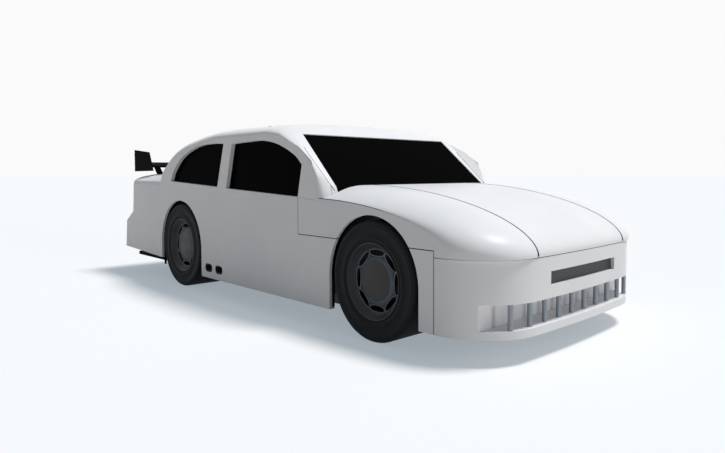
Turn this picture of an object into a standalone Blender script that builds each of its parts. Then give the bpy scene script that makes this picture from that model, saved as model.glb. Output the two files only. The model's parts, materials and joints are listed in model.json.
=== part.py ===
"""A full-size stock car: flat-sided coupe body over a tube-rail chassis, with steered front
wheels, a hood, and a deck lid that carries the rear wing.

Metres, +X forward, +Y to the left, +Z up, origin on the ground under the middle of the car.
Places along the car are given as distances ahead of the front axle; behind it they are negative.
"""

import math

import bmesh
import bpy
import numpy as np
from mathutils import Matrix, Vector

# Whole car
WHEELBASE = 2.794
FRONT_OVERHANG = 1.015
REAR_OVERHANG = 1.406
HALF_WIDTH = 0.96
FRONT_AXLE_X = (WHEELBASE + REAR_OVERHANG - FRONT_OVERHANG) / 2
TAIL_AHEAD = -WHEELBASE - REAR_OVERHANG

# Walls and clearances
SIDE_WALL = 0.045
SKIN = 0.03
SHEET = 0.015
FIT = 0.0003
SEAT_GAP = 0.0008
MOVING_GAP = 0.0055
OVERRUN = 0.1

# Wheels and tyres
AXLE_Z = 0.40
TYRE_RADIUS = AXLE_Z
RIM_RADIUS = 0.257
TYRE_OUTER_Y = 0.955
TYRE_INNER_Y = 0.56
RIM_WALL = 0.02
# columns: share of the tyre's height above the rim, share of its width
TYRE_SHARES = [(0, 0.06), (0.85, 0.01), (0.97, 0.035), (1.0, 0.08), (1.0, 0.925), (0.975, 0.97),
               (0.86, 0.995), (0.45, 1.0), (0, 0.975)]
HUB_FACE_DEPTH = 0.046
HUB_FACE_RADIUS = 0.14
HUB_BASE_RADIUS = 0.161
HUB_BASE_DEPTH = 0.062
HUB_INNER_Y = 0.80
HUB_FLANGE_RADIUS = 0.075
DISC_DEPTH = 0.054
DISC_WALL = 0.012
DISH_RADIUS = 0.212
RIM_LIP_DEPTH = 0.006
SLOT_RADIUS = 0.185
SLOT_LENGTH = 0.138
SLOT_WIDTH = 0.040
SLOT_END_SHARES = (0.7, 0.8)
SLOT_COUNT = 8
WHEEL_SEGMENTS = 32
SLOT_SEGMENTS = 10

# Arches
ARCH_RADIUS = 0.434

# Lower body
SILL_Z = 0.15
TAIL_SILL_FRONT_Z = 0.238
TAIL_SILL_REAR_Z = 0.274
SEAM_Z = 0.65
DOOR_SEAM_BACK = 0.811
DOOR_SEAM_Z = 0.925

# Side line of the roof, from the front base of the pillar to the deck
ROOF_FRONT_BACK = 0.567
ROOF_BASE_Z = 0.911
ROOF_SIDE_RISE = 0.504
ROOF_CROWN = 0.124
ROOF_CROWN_POWER = 2.5
# columns: share of the roof's length, share of its rise, share of its crown
ROOF_LINE_SHARES = [
    (0.000, 0.000, 1.65), (0.003, 0.323, 0.40), (0.029, 0.562, 0.05), (0.086, 0.768, 0.15),
    (0.184, 0.956, 0.66), (0.248, 0.994, 0.86), (0.353, 0.986, 0.96), (0.475, 0.982, 1.00),
    (0.568, 0.974, 1.00), (0.666, 0.905, 1.16), (0.784, 0.792, 1.33), (0.847, 0.702, 1.37),
    (0.901, 0.591, 1.45), (0.941, 0.474, 1.50), (0.970, 0.349, 1.55), (1.000, 0.131, 1.55)]

# Glass: places on the roof's side are shares of its length, from its front, and of its rise
GLASS = 0.006
GLASS_RECESS = 0.008
SHIELD_BASE_SHARES = (-0.0372, 0.1323)
SHIELD_HEAD_SHARES = (0.1505, 0.9841)
SHIELD_BASE_INSET = 0.116
SHIELD_HEAD_INSET = 0.16
PILLAR_INSET = 0.08
PILLAR_FLARE_HEIGHT = 0.06
BACKLIGHT_HEAD_SHARES = (0.7686, 1.0893)
BACKLIGHT_BASE_SHARES = (0.9933, 0.3552)
BACKLIGHT_HEAD_INSET = 0.28
BACKLIGHT_BASE_INSET = 0.22
BACKLIGHT_MARGIN = 0.03
HOOD_REAR_BACK = 0.45
COWL_GAP = 0.008
ROOF_END_LAP = 0.002

# Side windows: shares of the roof's length and rise for the box's rear, base, length and height,
# and each outline as shares of that box
DOOR_WINDOW_BOX_SHARES = (0.49345, 0.03373, 0.42344, 0.85516)
DOOR_WINDOW_SHARES = [
    (0.0, 0.097), (0.95, 0.0), (1.0, 0.557), (0.91, 0.729), (0.729, 0.916), (0.538, 1.0), (0.332, 0.998),
    (0.1, 0.974)]
REAR_WINDOW_BOX_SHARES = (0.90828, 0.13492, 0.40397, 0.75794)
REAR_WINDOW_SHARES = [
    (0.0, 0.105), (0.883, 0.0), (1.0, 0.984), (0.764, 1.0), (0.513, 0.937), (0.242, 0.712), (0.063, 0.364)]

# Front body surface
COWL_Z = 1.015
CREASE_REAR_Z = 0.921
CREASE_FRONT_Z = 0.66
NOSE_TOP_Z = 0.612
CAP_SKIRT = 0.012
FENDER_SHOULDER = 0.34
FENDER_WIDTH = 0.4187
FENDER_CROWN_POWER = 1.5
HOOD_SLOPE_POWER = 1.85
CAP_CORNER_RADIUS = 0.40
NOSE_CORNER_RADIUS = 0.44
NOSE_FLAT_AHEAD = 1.0
NOSE_BOW = FRONT_OVERHANG - NOSE_FLAT_AHEAD

# Nose, its recess, grille and splitter
SPLITTER_BASE_Z = 0.159
SPLITTER_THICKNESS = 0.049
RECESS_TOP_Z = 0.36
RECESS_BACK_AHEAD = 0.82
GRILLE_HALF = 0.41
GRILLE_BASE_Z = 0.436
GRILLE_HEIGHT = 0.085
GRILLE_INSET = 0.02
POST_RADIUS = 0.015
POST_PITCH = 0.16
POST_COUNT = 10
POST_LINE_AHEAD = 0.955
POST_EDGE = 0.02

# Tail
DECK_EDGE_Z = 0.9773
DECK_CROWN = 0.133
DECK_CROWN_POWER = 2.8
TAIL_SLOPE = 0.251
DECK_LENGTH = 0.709
DECK_LIP_Z = 0.677
TAIL_LEAN = 0.028
DECK_FRONT_STRIP = 0.045
DECK_REAR_STRIP = 0.052
LID_INSET = 0.18
LID_THICKNESS = 0.018
LID_END_GAP = 0.008
LID_LEDGE = 0.025
BUMPER_SHELF = 0.034
BUMPER_SHELF_Z = 0.564

# Rear wing
WING_REAR_INSET = 0.015
WING_CHORD = 0.435
WING_BASE_Z = 1.159
WING_THICKNESS = 0.061
WING_HALF = 0.8397
WING_SUPPORT_HALF_Y = 0.73
WING_SUPPORT_WIDTH = 0.012
WING_SUPPORT_LEAD = 0.03
WING_SUPPORT_LENGTH = 0.15
ENDPLATE_THICKNESS = 0.012
ENDPLATE_LENGTH = 0.50
ENDPLATE_HEIGHT = 0.244
ENDPLATE_BASE_Z = 1.116
ENDPLATE_INSET = 0.002
ENDPLATE_SHARES = [(0.0, 0.0), (1.0, 0.025), (0.80, 0.865), (0.0, 1.0)]
WING_CHORD_SHARES = [
    (0.0, 0.25), (0.03, 0.0), (0.45, 0.10), (1.0, 0.72), (1.0, 0.80), (0.55, 1.0), (0.12, 0.62)]

# Chassis
FLOOR_Z = 0.2103
FIREWALL_BACK = 0.60
FIREWALL_TOP_Z = 0.905
BULKHEAD_LEAD = 0.864
TUNNEL_HALF_FOOT = 0.17
TUNNEL_HALF_TOP = 0.14
TUNNEL_TOP_Z = 0.47
TRUNK_FLOOR_Z = 0.62
TRUNK_END_GAP = 0.049
WELL_HALF = 0.50
REAR_WELL_RADIUS = 0.46
FRONT_WELL_RADIUS = 0.475
FRONT_WELL_INNER_Y = 0.45
WELL_SHEET = 0.012
WELL_SHOULDER = 0.045
RAIL_HALF = 0.04
RAIL_FRONT_Y, RAIL_FRONT_Z, RAIL_FRONT_HALF = 0.375, 0.26, 0.05
RAIL_MIDDLE_Y, RAIL_MIDDLE_Z, RAIL_MIDDLE_HALF = 0.60, 0.15, 0.06
RAIL_LOW_Z, RAIL_LOW_HALF = 0.115, 0.03
RAIL_STEP_Y, RAIL_STEP_Z, RAIL_STEP_HALF = 0.49, 0.125, 0.035
RAIL_AXLE_Y, RAIL_AXLE_Z, RAIL_AXLE_HALF = 0.44, 0.5747, 0.045
RAIL_FRONT_BACK, RAIL_MIDDLE_BACK = 0.43, 0.595
RAIL_TAPER_LEAD, RAIL_LOW_LEAD, RAIL_DIP_LAG, RAIL_STEP_LAG = 0.15, 0.03, 0.19, 0.37
RAIL_AXLE_LEAD, RAIL_END_GAP = 0.234, 0.069
TOWER_TOP_Z = 0.60
TOWER_HALF = 0.05
CROSSMEMBER_BASE_Z = 0.215
CROSSMEMBER_HEIGHT = 0.08
CROSSMEMBER_HALF = 0.055
ENGINE_FRONT_AHEAD = 0.06
ENGINE_LENGTH = 0.638
ENGINE_HALF = 0.26
ENGINE_TOP_Z = 0.74
GEARBOX_Z = 0.32
GEARBOX_LENGTH = 0.6717
GEARBOX_CASE_SHARE = 0.85
GEARBOX_TAIL_SHARES = (0.6, 0.45)
ENGINE_FOOT_SHARE = 0.6
ENGINE_SHOULDER_SHARE = 0.45
SHAFT_RADIUS = 0.035
AXLE_TUBE_RADIUS = 0.045
DIFF_RADIUS = 0.13
AXLE_END_GAP = 0.0006
SPRING_RADIUS = 0.045
LINK_Y = 0.41
LINK_LEAD = 0.434
LINK_FRONT_Z = 0.24
LINK_RADIUS = 0.02
FUEL_LAG = 0.506
FUEL_LENGTH = 0.50
FUEL_HALF = 0.36
TRAY_TOP_Z = 0.227
TRAY_THICKNESS = 0.035
TRAY_LAG = 0.456
TRAY_END_INSET = 0.21
TRAY_INSET = 0.06

# Exhaust on the right side
OUTLET_LAG = 0.135
OUTLET_PITCH = 0.1875
OUTLET_CORNER_SHARE = 0.6
OUTLET_HALF_LENGTH = 0.066
OUTLET_HALF_HEIGHT = 0.0385
OUTLET_Z = 0.2415
OUTLET_WALL = 0.008
OUTLET_DEPTH = 0.12
PIPE_RADIUS = 0.035
PIPE_Z = 0.16
MUFFLER_LENGTH, MUFFLER_END_GAP = 0.45, 0.03
MUFFLER_INNER_Y, MUFFLER_OUTER_Y = 0.24, 0.52
MUFFLER_HEIGHT = 0.10
PIPE_INNER_SHARES = (0.8, 0.6)
FRONT_PIPE_Y, FRONT_PIPE_BEND_Y, FRONT_PIPE_TOP_Y = 0.38, 0.325, 0.30
FRONT_PIPE_BACK, FRONT_PIPE_BEND_BACK, FRONT_PIPE_TOP_BACK = 0.635, 0.56, 0.50
FRONT_PIPE_BEND_RISE, FRONT_PIPE_FOOT_RISE, FRONT_PIPE_RISE = 0.015, 0.10, 0.30

# Front suspension and steering
KINGPIN_Y = 0.70
KNUCKLE_HALF = 0.028
ARM_THICKNESS = 0.03
LOWER_ARM_Z = 0.215
UPPER_ARM_Z = 0.5553
UPPER_ARM_THICKNESS = 0.025
ARM_INNER_HALF_LENGTH = 0.11
ARM_TIP_HALF_LENGTH = 0.03
ARM_NECK_SHARE = 0.5
SPINDLE_RADIUS = 0.03
STEER_ARM_AHEAD = 0.15
STEER_ARM_Z = 0.353
STEER_ARM_THICKNESS = 0.017
STEER_ARM_HALF = 0.02
TIE_ROD_RADIUS = 0.012
TIE_ROD_GAP = 0.0009
TIE_ROD_END = 0.015


DECK_REAR_BACK = WHEELBASE + REAR_OVERHANG - TAIL_SLOPE
ROOF_LENGTH = DECK_REAR_BACK - DECK_LENGTH - ROOF_FRONT_BACK - ROOF_END_LAP
FLOOR_REAR_BACK = WHEELBASE - BULKHEAD_LEAD
LINK_FRONT_BACK = WHEELBASE - LINK_LEAD
FUEL_FRONT_BACK = WHEELBASE + FUEL_LAG
TRAY_FRONT_BACK = WHEELBASE + TRAY_LAG
TRAY_REAR_BACK = WHEELBASE + REAR_OVERHANG - TRAY_END_INSET
MUFFLER_REAR_BACK = FLOOR_REAR_BACK - MUFFLER_END_GAP
MUFFLER_FRONT_BACK = MUFFLER_REAR_BACK - MUFFLER_LENGTH
OUTLET_BACK = MUFFLER_REAR_BACK + OUTLET_LAG
ROOF_REAR_AHEAD = -ROOF_FRONT_BACK - ROOF_LENGTH - ROOF_END_LAP
SHIELD_BASE_HALF = HALF_WIDTH - SHIELD_BASE_INSET
SHIELD_HEAD_HALF = HALF_WIDTH - SHIELD_HEAD_INSET
PILLAR_HALF = HALF_WIDTH - PILLAR_INSET
BACKLIGHT_HEAD_HALF = HALF_WIDTH - BACKLIGHT_HEAD_INSET
BACKLIGHT_BASE_HALF = HALF_WIDTH - BACKLIGHT_BASE_INSET
HOOD_HALF = HALF_WIDTH - FENDER_WIDTH
CREST_HALF = HALF_WIDTH - FENDER_SHOULDER
LID_FRONT_AHEAD = ROOF_REAR_AHEAD - DECK_FRONT_STRIP
LID_REAR_AHEAD = -DECK_REAR_BACK + DECK_REAR_STRIP
LID_HALF = HALF_WIDTH - LID_INSET
BUMPER_SHELF_AHEAD = TAIL_AHEAD + BUMPER_SHELF
WING_REAR_AHEAD = TAIL_AHEAD + WING_REAR_INSET
WING_FRONT_AHEAD = WING_REAR_AHEAD + WING_CHORD
WING_SUPPORT_FRONT = WING_FRONT_AHEAD + WING_SUPPORT_LEAD
WING_SUPPORT_REAR = WING_SUPPORT_FRONT - WING_SUPPORT_LENGTH
ENDPLATE_TIP_AHEAD = TAIL_AHEAD + ENDPLATE_INSET
TRUNK_REAR_AHEAD = -DECK_REAR_BACK + TRUNK_END_GAP
TRAY_HALF = HALF_WIDTH - TRAY_INSET
OUTLET_AHEADS = (-OUTLET_BACK, -OUTLET_BACK - OUTLET_PITCH)
GEARBOX_REAR_AHEAD = ENGINE_FRONT_AHEAD - ENGINE_LENGTH - GEARBOX_LENGTH
WELD = FIT / 30
# columns: ahead, y, height of the middle, half height
RAIL_SECTIONS = [
    (RECESS_BACK_AHEAD - SIDE_WALL - SEAT_GAP, RAIL_FRONT_Y, RAIL_FRONT_Z, RAIL_FRONT_HALF),
    (-RAIL_FRONT_BACK, RAIL_FRONT_Y, RAIL_FRONT_Z, RAIL_FRONT_HALF),
    (-RAIL_MIDDLE_BACK, RAIL_MIDDLE_Y, RAIL_MIDDLE_Z, RAIL_MIDDLE_HALF),
    (-FLOOR_REAR_BACK + RAIL_TAPER_LEAD, RAIL_MIDDLE_Y, RAIL_MIDDLE_Z, RAIL_MIDDLE_HALF),
    (-FLOOR_REAR_BACK + RAIL_LOW_LEAD, RAIL_MIDDLE_Y, RAIL_LOW_Z, RAIL_LOW_HALF),
    (-FLOOR_REAR_BACK - RAIL_DIP_LAG, RAIL_STEP_Y, RAIL_LOW_Z, RAIL_LOW_HALF),
    (-FLOOR_REAR_BACK - RAIL_STEP_LAG, RAIL_STEP_Y, RAIL_STEP_Z, RAIL_STEP_HALF),
    (-WHEELBASE + RAIL_AXLE_LEAD, RAIL_AXLE_Y, RAIL_AXLE_Z, RAIL_AXLE_HALF),
    (-DECK_REAR_BACK + RAIL_END_GAP, RAIL_AXLE_Y, RAIL_AXLE_Z, RAIL_AXLE_HALF)]


def at(ahead):
    """The world X of a place this far ahead of the front axle."""
    return FRONT_AXLE_X + ahead


# Mesh tools

def mesh_solid(vertices, faces):
    """A mesh whose faces are turned to point outwards, with doubled points merged."""
    mesh = bpy.data.meshes.new("solid")
    mesh.from_pydata([tuple(v) for v in vertices], [], faces)
    bm = bmesh.new()
    bm.from_mesh(mesh)
    bmesh.ops.remove_doubles(bm, verts=bm.verts, dist=WELD)
    bmesh.ops.dissolve_degenerate(bm, edges=bm.edges, dist=WELD)
    bmesh.ops.recalc_face_normals(bm, faces=bm.faces)
    bm.to_mesh(mesh)
    bm.free()
    return mesh


def prism(outline, low, high, axis):
    """An outline in the plane across an axis, carried from low to high along that axis.

    The outline's pairs are (x, z) for axis 1, (y, z) for axis 0 and (x, y) for axis 2.
    """
    rings = []
    for level in (low, high):
        if axis == 1:
            rings += [(at(a), level, b) for a, b in outline]
        elif axis == 0:
            rings += [(at(level), a, b) for a, b in outline]
        else:
            rings += [(at(a), b, level) for a, b in outline]
    count = len(outline)
    sides = [(i, (i + 1) % count, count + (i + 1) % count, count + i) for i in range(count)]
    return mesh_solid(rings, [tuple(range(count)), tuple(range(count, 2 * count))] + sides)


def block(aheads, sides, heights):
    """A box from three (low, high) pairs: ahead, y and z."""
    (rear, front), (low, high) = aheads, heights
    corners = [(rear, low), (front, low), (front, high), (rear, high)]
    return prism(corners, sides[0], sides[1], 1)


def grid_faces(rows, columns, start=0):
    """Quads of a grid of points stored row by row."""
    return [(start + r * columns + c, start + r * columns + c + 1,
             start + (r + 1) * columns + c + 1, start + (r + 1) * columns + c)
            for r in range(rows - 1) for c in range(columns - 1)]


def shell(outer, inner):
    """A panel between two grids of points of the same shape, closed round its rim."""
    rows, columns = outer.shape[:2]
    size = rows * columns
    rim = [c for c in range(columns)]
    rim += [r * columns + columns - 1 for r in range(1, rows)]
    rim += [(rows - 1) * columns + c for c in range(columns - 2, -1, -1)]
    rim += [r * columns for r in range(rows - 2, 0, -1)]
    faces = grid_faces(rows, columns) + grid_faces(rows, columns, size)
    for a, b in zip(rim, rim[1:] + rim[:1]):
        faces.append((a, b, size + b, size + a))
    return mesh_solid(np.vstack([outer.reshape(-1, 3), inner.reshape(-1, 3)]), faces)


def tube_of_rings(rings):
    """Rings with the same number of points, joined in turn and capped at both ends."""
    count = len(rings[0])
    faces = [tuple(range(count)), tuple(range((len(rings) - 1) * count, len(rings) * count))]
    for r in range(len(rings) - 1):
        for c in range(count):
            d = (c + 1) % count
            faces.append((r * count + c, r * count + d, (r + 1) * count + d, (r + 1) * count + c))
    return mesh_solid([point for ring in rings for point in ring], faces)


def swept(path, radii, segments=10):
    """A round bar along a path of (ahead, y, z) points, mitred at its bends."""
    points = [Vector((at(a), y, z)) for a, y, z in path]
    rings = []
    for i, point in enumerate(points):
        before = points[max(i - 1, 0)]
        after = points[min(i + 1, len(points) - 1)]
        along = (after - before).normalized()
        across = along.cross(Vector((0, 0, 1)))
        if across.length < WELD:
            across = Vector((0, 1, 0))
        across.normalize()
        upward = across.cross(along)
        turn = [2 * math.pi * (k + 0.5) / segments for k in range(segments)]
        rings.append([point + radii[i] * (math.cos(t) * across + math.sin(t) * upward) for t in turn])
    return tube_of_rings(rings)


def section_bar(sections):
    """A rectangular bar through upright sections of (ahead, y, z, half width, half height)."""
    return tube_of_rings([
        [(at(a), y - w, z - h), (at(a), y + w, z - h), (at(a), y + w, z + h), (at(a), y - w, z + h)]
        for a, y, z, w, h in sections])


def turned(profile, ahead, height, axis=1, segments=WHEEL_SEGMENTS):
    """A closed profile of (radius, place along the axis) spun about Y or X through (ahead, height).

    The polygon is drawn round its circle with a flat at the bottom, so a wheel stands on a flat.
    """
    spread = 1 / math.cos(math.pi / segments)
    rings = []
    for k in range(segments):
        turn = 2 * math.pi * (k + 0.5) / segments
        c, s = math.sin(turn) * spread, -math.cos(turn) * spread
        if axis == 1:
            rings.append([(at(ahead) + r * c, along, height + r * s) for r, along in profile])
        else:
            rings.append([(at(along), r * c, height + r * s) for r, along in profile])
    count = len(profile)
    open_profile = profile[0][0] == 0 and profile[-1][0] == 0
    steps = count - 1 if open_profile else count
    faces = []
    for k in range(segments):
        m = (k + 1) % segments
        for c in range(steps):
            d = (c + 1) % count
            faces.append((k * count + c, k * count + d, m * count + d, m * count + c))
    return mesh_solid([point for ring in rings for point in ring], faces)


def combined(mesh, operation, others):
    """The mesh after an exact union, difference or intersection with each of the others."""
    base = bpy.data.objects.new("base", mesh)
    bpy.context.scene.collection.objects.link(base)
    tools = []
    for other in others:
        tool = bpy.data.objects.new("tool", other)
        bpy.context.scene.collection.objects.link(tool)
        tools.append(tool)
        modifier = base.modifiers.new("combine", "BOOLEAN")
        modifier.operation = operation
        modifier.solver = "EXACT"
        modifier.object = tool
    bpy.context.view_layer.update()
    evaluated = base.evaluated_get(bpy.context.evaluated_depsgraph_get())
    result = bpy.data.meshes.new_from_object(evaluated)
    for piece in tools + [base]:
        bpy.data.objects.remove(piece)
    bm = bmesh.new()
    bm.from_mesh(result)
    bmesh.ops.remove_doubles(bm, verts=bm.verts, dist=WELD)
    bmesh.ops.dissolve_degenerate(bm, edges=bm.edges, dist=WELD)
    bmesh.ops.dissolve_limit(bm, angle_limit=math.radians(0.05), verts=bm.verts, edges=bm.edges)
    bm.to_mesh(result)
    bm.free()
    return result


def cut(mesh, *cutters):
    return combined(mesh, "DIFFERENCE", cutters)


def join(mesh, *others):
    return combined(mesh, "UNION", others)


def common(mesh, *others):
    return combined(mesh, "INTERSECT", others)


MATERIALS = {}


def finish(name, colour, roughness, metallic=0.0):
    """A plain material of one colour for the pieces that share a finish."""
    material = bpy.data.materials.new(name)
    material.use_nodes = True
    shader = material.node_tree.nodes["Principled BSDF"]
    shader.inputs["Base Color"].default_value = (*colour, 1.0)
    shader.inputs["Roughness"].default_value = roughness
    shader.inputs["Metallic"].default_value = metallic
    material.diffuse_color = (*colour, 1.0)
    MATERIALS[name] = material


def add(name, mesh, material, pivot=None, parent=None, round_piece=False):
    """Put a solid in the scene as one named piece, with its origin on its pivot if it has one."""
    mesh.name = name
    mesh.materials.clear()
    mesh.materials.append(MATERIALS[material])
    if pivot:
        mesh.transform(Matrix.Translation(-Vector(pivot)))
    if round_piece:
        mesh.shade_smooth()
        mesh.set_sharp_from_angle(angle=math.radians(40))
    piece = bpy.data.objects.new(name, mesh)
    bpy.context.scene.collection.objects.link(piece)
    if pivot:
        piece.location = pivot
    if parent:
        piece.parent = parent
        piece.matrix_parent_inverse = parent.matrix_basis.inverted()
    return piece


def joint_empty(name, pivot):
    """An empty on a joint's axis, which the pieces of that body hang from."""
    empty = bpy.data.objects.new(name, None)
    empty.location = pivot
    empty.empty_display_size = OVERRUN
    bpy.context.scene.collection.objects.link(empty)
    return empty


# Outlines

def round_points(centre, radius, start, end, steps):
    """Points on an arc, from one angle in degrees to another."""
    return [(centre[0] + radius * math.cos(math.radians(start + (end - start) * k / steps)),
             centre[1] + radius * math.sin(math.radians(start + (end - start) * k / steps)))
            for k in range(steps + 1)]


def circle(centre, radius, steps=12):
    """A closed ring of points."""
    return round_points(centre, radius, 0, 360 - 360 / steps, steps - 1)


def squared(share, corner_share):
    """A cosine or sine pushed outwards, which squares up an oval's corners."""
    return math.copysign(abs(share) ** corner_share, share)


def placed_shares(shares, left, base, length, height):
    """Outline shares of a box, placed at that box."""
    return [(left + s[0] * length, base + s[1] * height) for s in shares]


def inset(outline, distance):
    """A closed outline moved inwards by a distance, corner by corner."""
    points = np.array(outline)
    forward = np.roll(points, -1, 0) - points
    forward /= np.linalg.norm(forward, axis=1)[:, None]
    normal = np.stack([-forward[:, 1], forward[:, 0]], 1)
    area = np.sum(points[:, 0] * np.roll(points[:, 1], -1) - np.roll(points[:, 0], -1) * points[:, 1])
    normal *= np.sign(area)
    before = np.roll(normal, 1, 0)
    middle = before + normal
    middle /= np.sum(middle * normal, axis=1)[:, None]
    return [tuple(p) for p in points + distance * middle]


def roof_line():
    """The roof's side line as (ahead, z), front to rear."""
    return [on_roof((s, h)) for s, h, c in ROOF_LINE_SHARES]


def on_roof(shares):
    """The (ahead, z) of a place given as shares of the roof's length and rise."""
    return (-ROOF_FRONT_BACK - shares[0] * ROOF_LENGTH, ROOF_BASE_Z + shares[1] * ROOF_SIDE_RISE)


SHIELD_BASE, SHIELD_HEAD = on_roof(SHIELD_BASE_SHARES), on_roof(SHIELD_HEAD_SHARES)
BACKLIGHT_BASE, BACKLIGHT_HEAD = on_roof(BACKLIGHT_BASE_SHARES), on_roof(BACKLIGHT_HEAD_SHARES)


def line_normals(line):
    """Unit normals of an open line in the (ahead, z) plane, pointing up and outwards."""
    points = np.array(line)
    along = np.gradient(points, axis=0)
    along /= np.linalg.norm(along, axis=1)[:, None]
    return np.stack([along[:, 1], -along[:, 0]], 1)


def crown(shares, power):
    """How much of the crown stands at a share of the half width: all at the middle, none at the edge."""
    return (1 - np.clip(np.abs(shares), 0, 1) ** power) ** (1 / power)


EDGE_SHARES = np.array([0.0, 0.35, 0.60, 0.78, 0.89, 0.955, 0.99, 1.0])
FULL_SHARES = np.concatenate([-EDGE_SHARES[:0:-1], EDGE_SHARES])


def barrel(depth, half_width, foot_drop):
    """The solid under the roof's crowned surface, sunk by a depth and closed below.

    Each point is the side line's, moved out along the line's normal by the crown less the depth.
    """
    line = np.array(roof_line())
    normals = line_normals(roof_line())
    crowns = ROOF_CROWN * np.array([c for s, h, c in ROOF_LINE_SHARES])
    rise = crowns[:, None] * crown(FULL_SHARES, ROOF_CROWN_POWER)[None, :] - depth
    ahead = line[:, 0, None] + normals[:, 0, None] * rise
    height = line[:, 1, None] + normals[:, 1, None] * rise
    side = np.broadcast_to(half_width * FULL_SHARES, ahead.shape)
    grid = np.stack([FRONT_AXLE_X + ahead, side, height], 2)
    if foot_drop:
        first, last = grid[:1].copy(), grid[-1:].copy()
        first[:, :, 2] -= foot_drop
        last[:, :, 2] -= foot_drop
        grid = np.concatenate([first, grid, last])
    rows, columns = grid.shape[:2]
    faces = grid_faces(rows, columns)
    faces += [((rows - 1) * columns + c, (rows - 1) * columns + c + 1, c + 1, c) for c in range(columns - 1)]
    faces += [tuple(r * columns for r in range(rows)), tuple(r * columns + columns - 1 for r in range(rows))]
    return mesh_solid(grid.reshape(-1, 3), faces)


def slope_solid(base, head, section, reach):
    """A solid on a sloping window plane: rings across the slope at the base and the head, run on by a reach.

    The section gives, for base and head, pairs of (half width, height above the plane).
    """
    start, end = np.array(base), np.array(head)
    along = (end - start) / np.linalg.norm(end - start)
    normal = np.array([along[1], -along[0]]) * np.sign(end[0] - start[0]) * -1
    if normal[1] < 0:
        normal = -normal
    rings = []
    for point, pairs, step in ((start, section[0], -reach), (end, section[1], reach)):
        foot = point + step * along
        half = [(w, *(foot + h * normal)) for w, h in pairs]
        rings.append([(at(a), w, z) for w, a, z in half] + [(at(a), -w, z) for w, a, z in reversed(half)])
    return tube_of_rings(rings)


def arch_cutter(ahead):
    """What a wheel arch cuts from the side: a round top over straight sides."""
    outline = round_points((ahead, AXLE_Z), ARCH_RADIUS, 0, 180, 24)
    outline += [(ahead - ARCH_RADIUS, -OVERRUN), (ahead + ARCH_RADIUS, -OVERRUN)]
    low, high = HALF_WIDTH - 2 * SIDE_WALL, HALF_WIDTH + OVERRUN
    return [prism(outline, side * low, side * high, 1) for side in (-1, 1)]


def nose_outline(corner_radius, depth, back, front_limit=None):
    """The nose seen from above: two round corners and a slight bow, moved in by a depth."""
    centre_y = HALF_WIDTH - corner_radius
    centre_x = NOSE_FLAT_AHEAD - corner_radius
    corner = round_points((centre_x, centre_y), corner_radius - depth, 90, 0, 10)
    shares = (0.7, 0.35, 0.0)
    bow = [(NOSE_FLAT_AHEAD - depth + NOSE_BOW * (1 - s * s), s * centre_y) for s in shares]
    half = [(back, HALF_WIDTH - depth)] + corner + bow
    outline = half + [(x, -y) for x, y in reversed(half[:-1])]
    if front_limit is not None:
        outline = [(min(x, front_limit), y) for x, y in outline]
    return outline


def nose_reach(side, corner_radius, depth):
    """How far ahead the nose outline reaches at a distance from the middle."""
    centre_y = HALF_WIDTH - corner_radius
    past = np.clip(np.abs(side) - centre_y, 0, corner_radius)
    arc = np.sqrt(np.maximum(corner_radius ** 2 - past ** 2, 0))
    bow = NOSE_BOW * (1 - np.minimum(np.abs(side) / centre_y, 1) ** 2)
    return NOSE_FLAT_AHEAD - corner_radius + arc + bow - depth


def roof_foot(sides):
    """How far ahead the roof's bulging front stands at its base."""
    bulge = ROOF_CROWN * ROOF_LINE_SHARES[0][2]
    return -ROOF_FRONT_BACK + bulge * crown(sides / HALF_WIDTH, ROOF_CROWN_POWER)


def roof_foot_cutter():
    """The space that the roof's base and the side panels need behind the fenders, seen from above."""
    sides = HALF_WIDTH * np.concatenate([[-1.1], FULL_SHARES, [1.1]])
    ahead = np.minimum(roof_foot(sides) + SEAT_GAP, -HOOD_REAR_BACK)
    outline = list(zip(ahead, sides)) + [(-DOOR_SEAM_BACK, sides[-1]), (-DOOR_SEAM_BACK, sides[0])]
    return prism(outline, ROOF_BASE_Z - FIT, COWL_Z + OVERRUN, 2)


def front_surface(slope_shares, sides, depth, wall_inset):
    """The hood and fender surface, rear to nose: a superellipse slope that rolls over at the shoulder.

    The slope falls from the cowl to the nose line. Past the fender's crest its height is mixed with the
    crease's by a superellipse, so that it meets the flat side at a rounded crease. A short skirt ends it.
    """
    share = (np.abs(sides) - CREST_HALF) / (HALF_WIDTH - CREST_HALF)
    blend = crown(np.clip(share, 0, 1), FENDER_CROWN_POWER)
    rear = np.minimum(-HOOD_REAR_BACK, roof_foot(sides) - SKIN)
    top = CREASE_REAR_Z + (COWL_Z - CREASE_REAR_Z) * blend - depth
    low = NOSE_TOP_Z + FIT + CAP_SKIRT
    low = low + (CREASE_FRONT_Z - low) * (1 - blend)
    nose = nose_reach(sides, CAP_CORNER_RADIUS, depth)
    slope = np.array(slope_shares)[:, None]
    fall = (1 - slope ** HOOD_SLOPE_POWER) ** (1 / HOOD_SLOPE_POWER)
    ahead = rear + (nose - rear) * slope
    height = low + (top - low) * fall
    ahead = np.vstack([ahead, ahead[-1:]])
    height = np.vstack([height, np.full((1, len(sides)), NOSE_TOP_Z + FIT)])
    side = np.broadcast_to(sides - wall_inset, ahead.shape)
    return np.stack([FRONT_AXLE_X + ahead, side, height], 2)


SLOPE_SHARES = [0.0, 0.18, 0.34, 0.48, 0.60, 0.70, 0.79, 0.86, 0.92, 0.96, 0.985, 1.0]


def deck_surface(aheads, sides, depth):
    """The deck's crowned surface at some depth under its top."""
    rise = DECK_CROWN * crown(sides / HALF_WIDTH, DECK_CROWN_POWER)
    ahead, side = np.meshgrid(aheads, sides, indexing="ij")
    height = np.broadcast_to(DECK_EDGE_Z + rise - depth, ahead.shape)
    return np.stack([FRONT_AXLE_X + ahead, side, height], 2)


# Body panels

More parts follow.
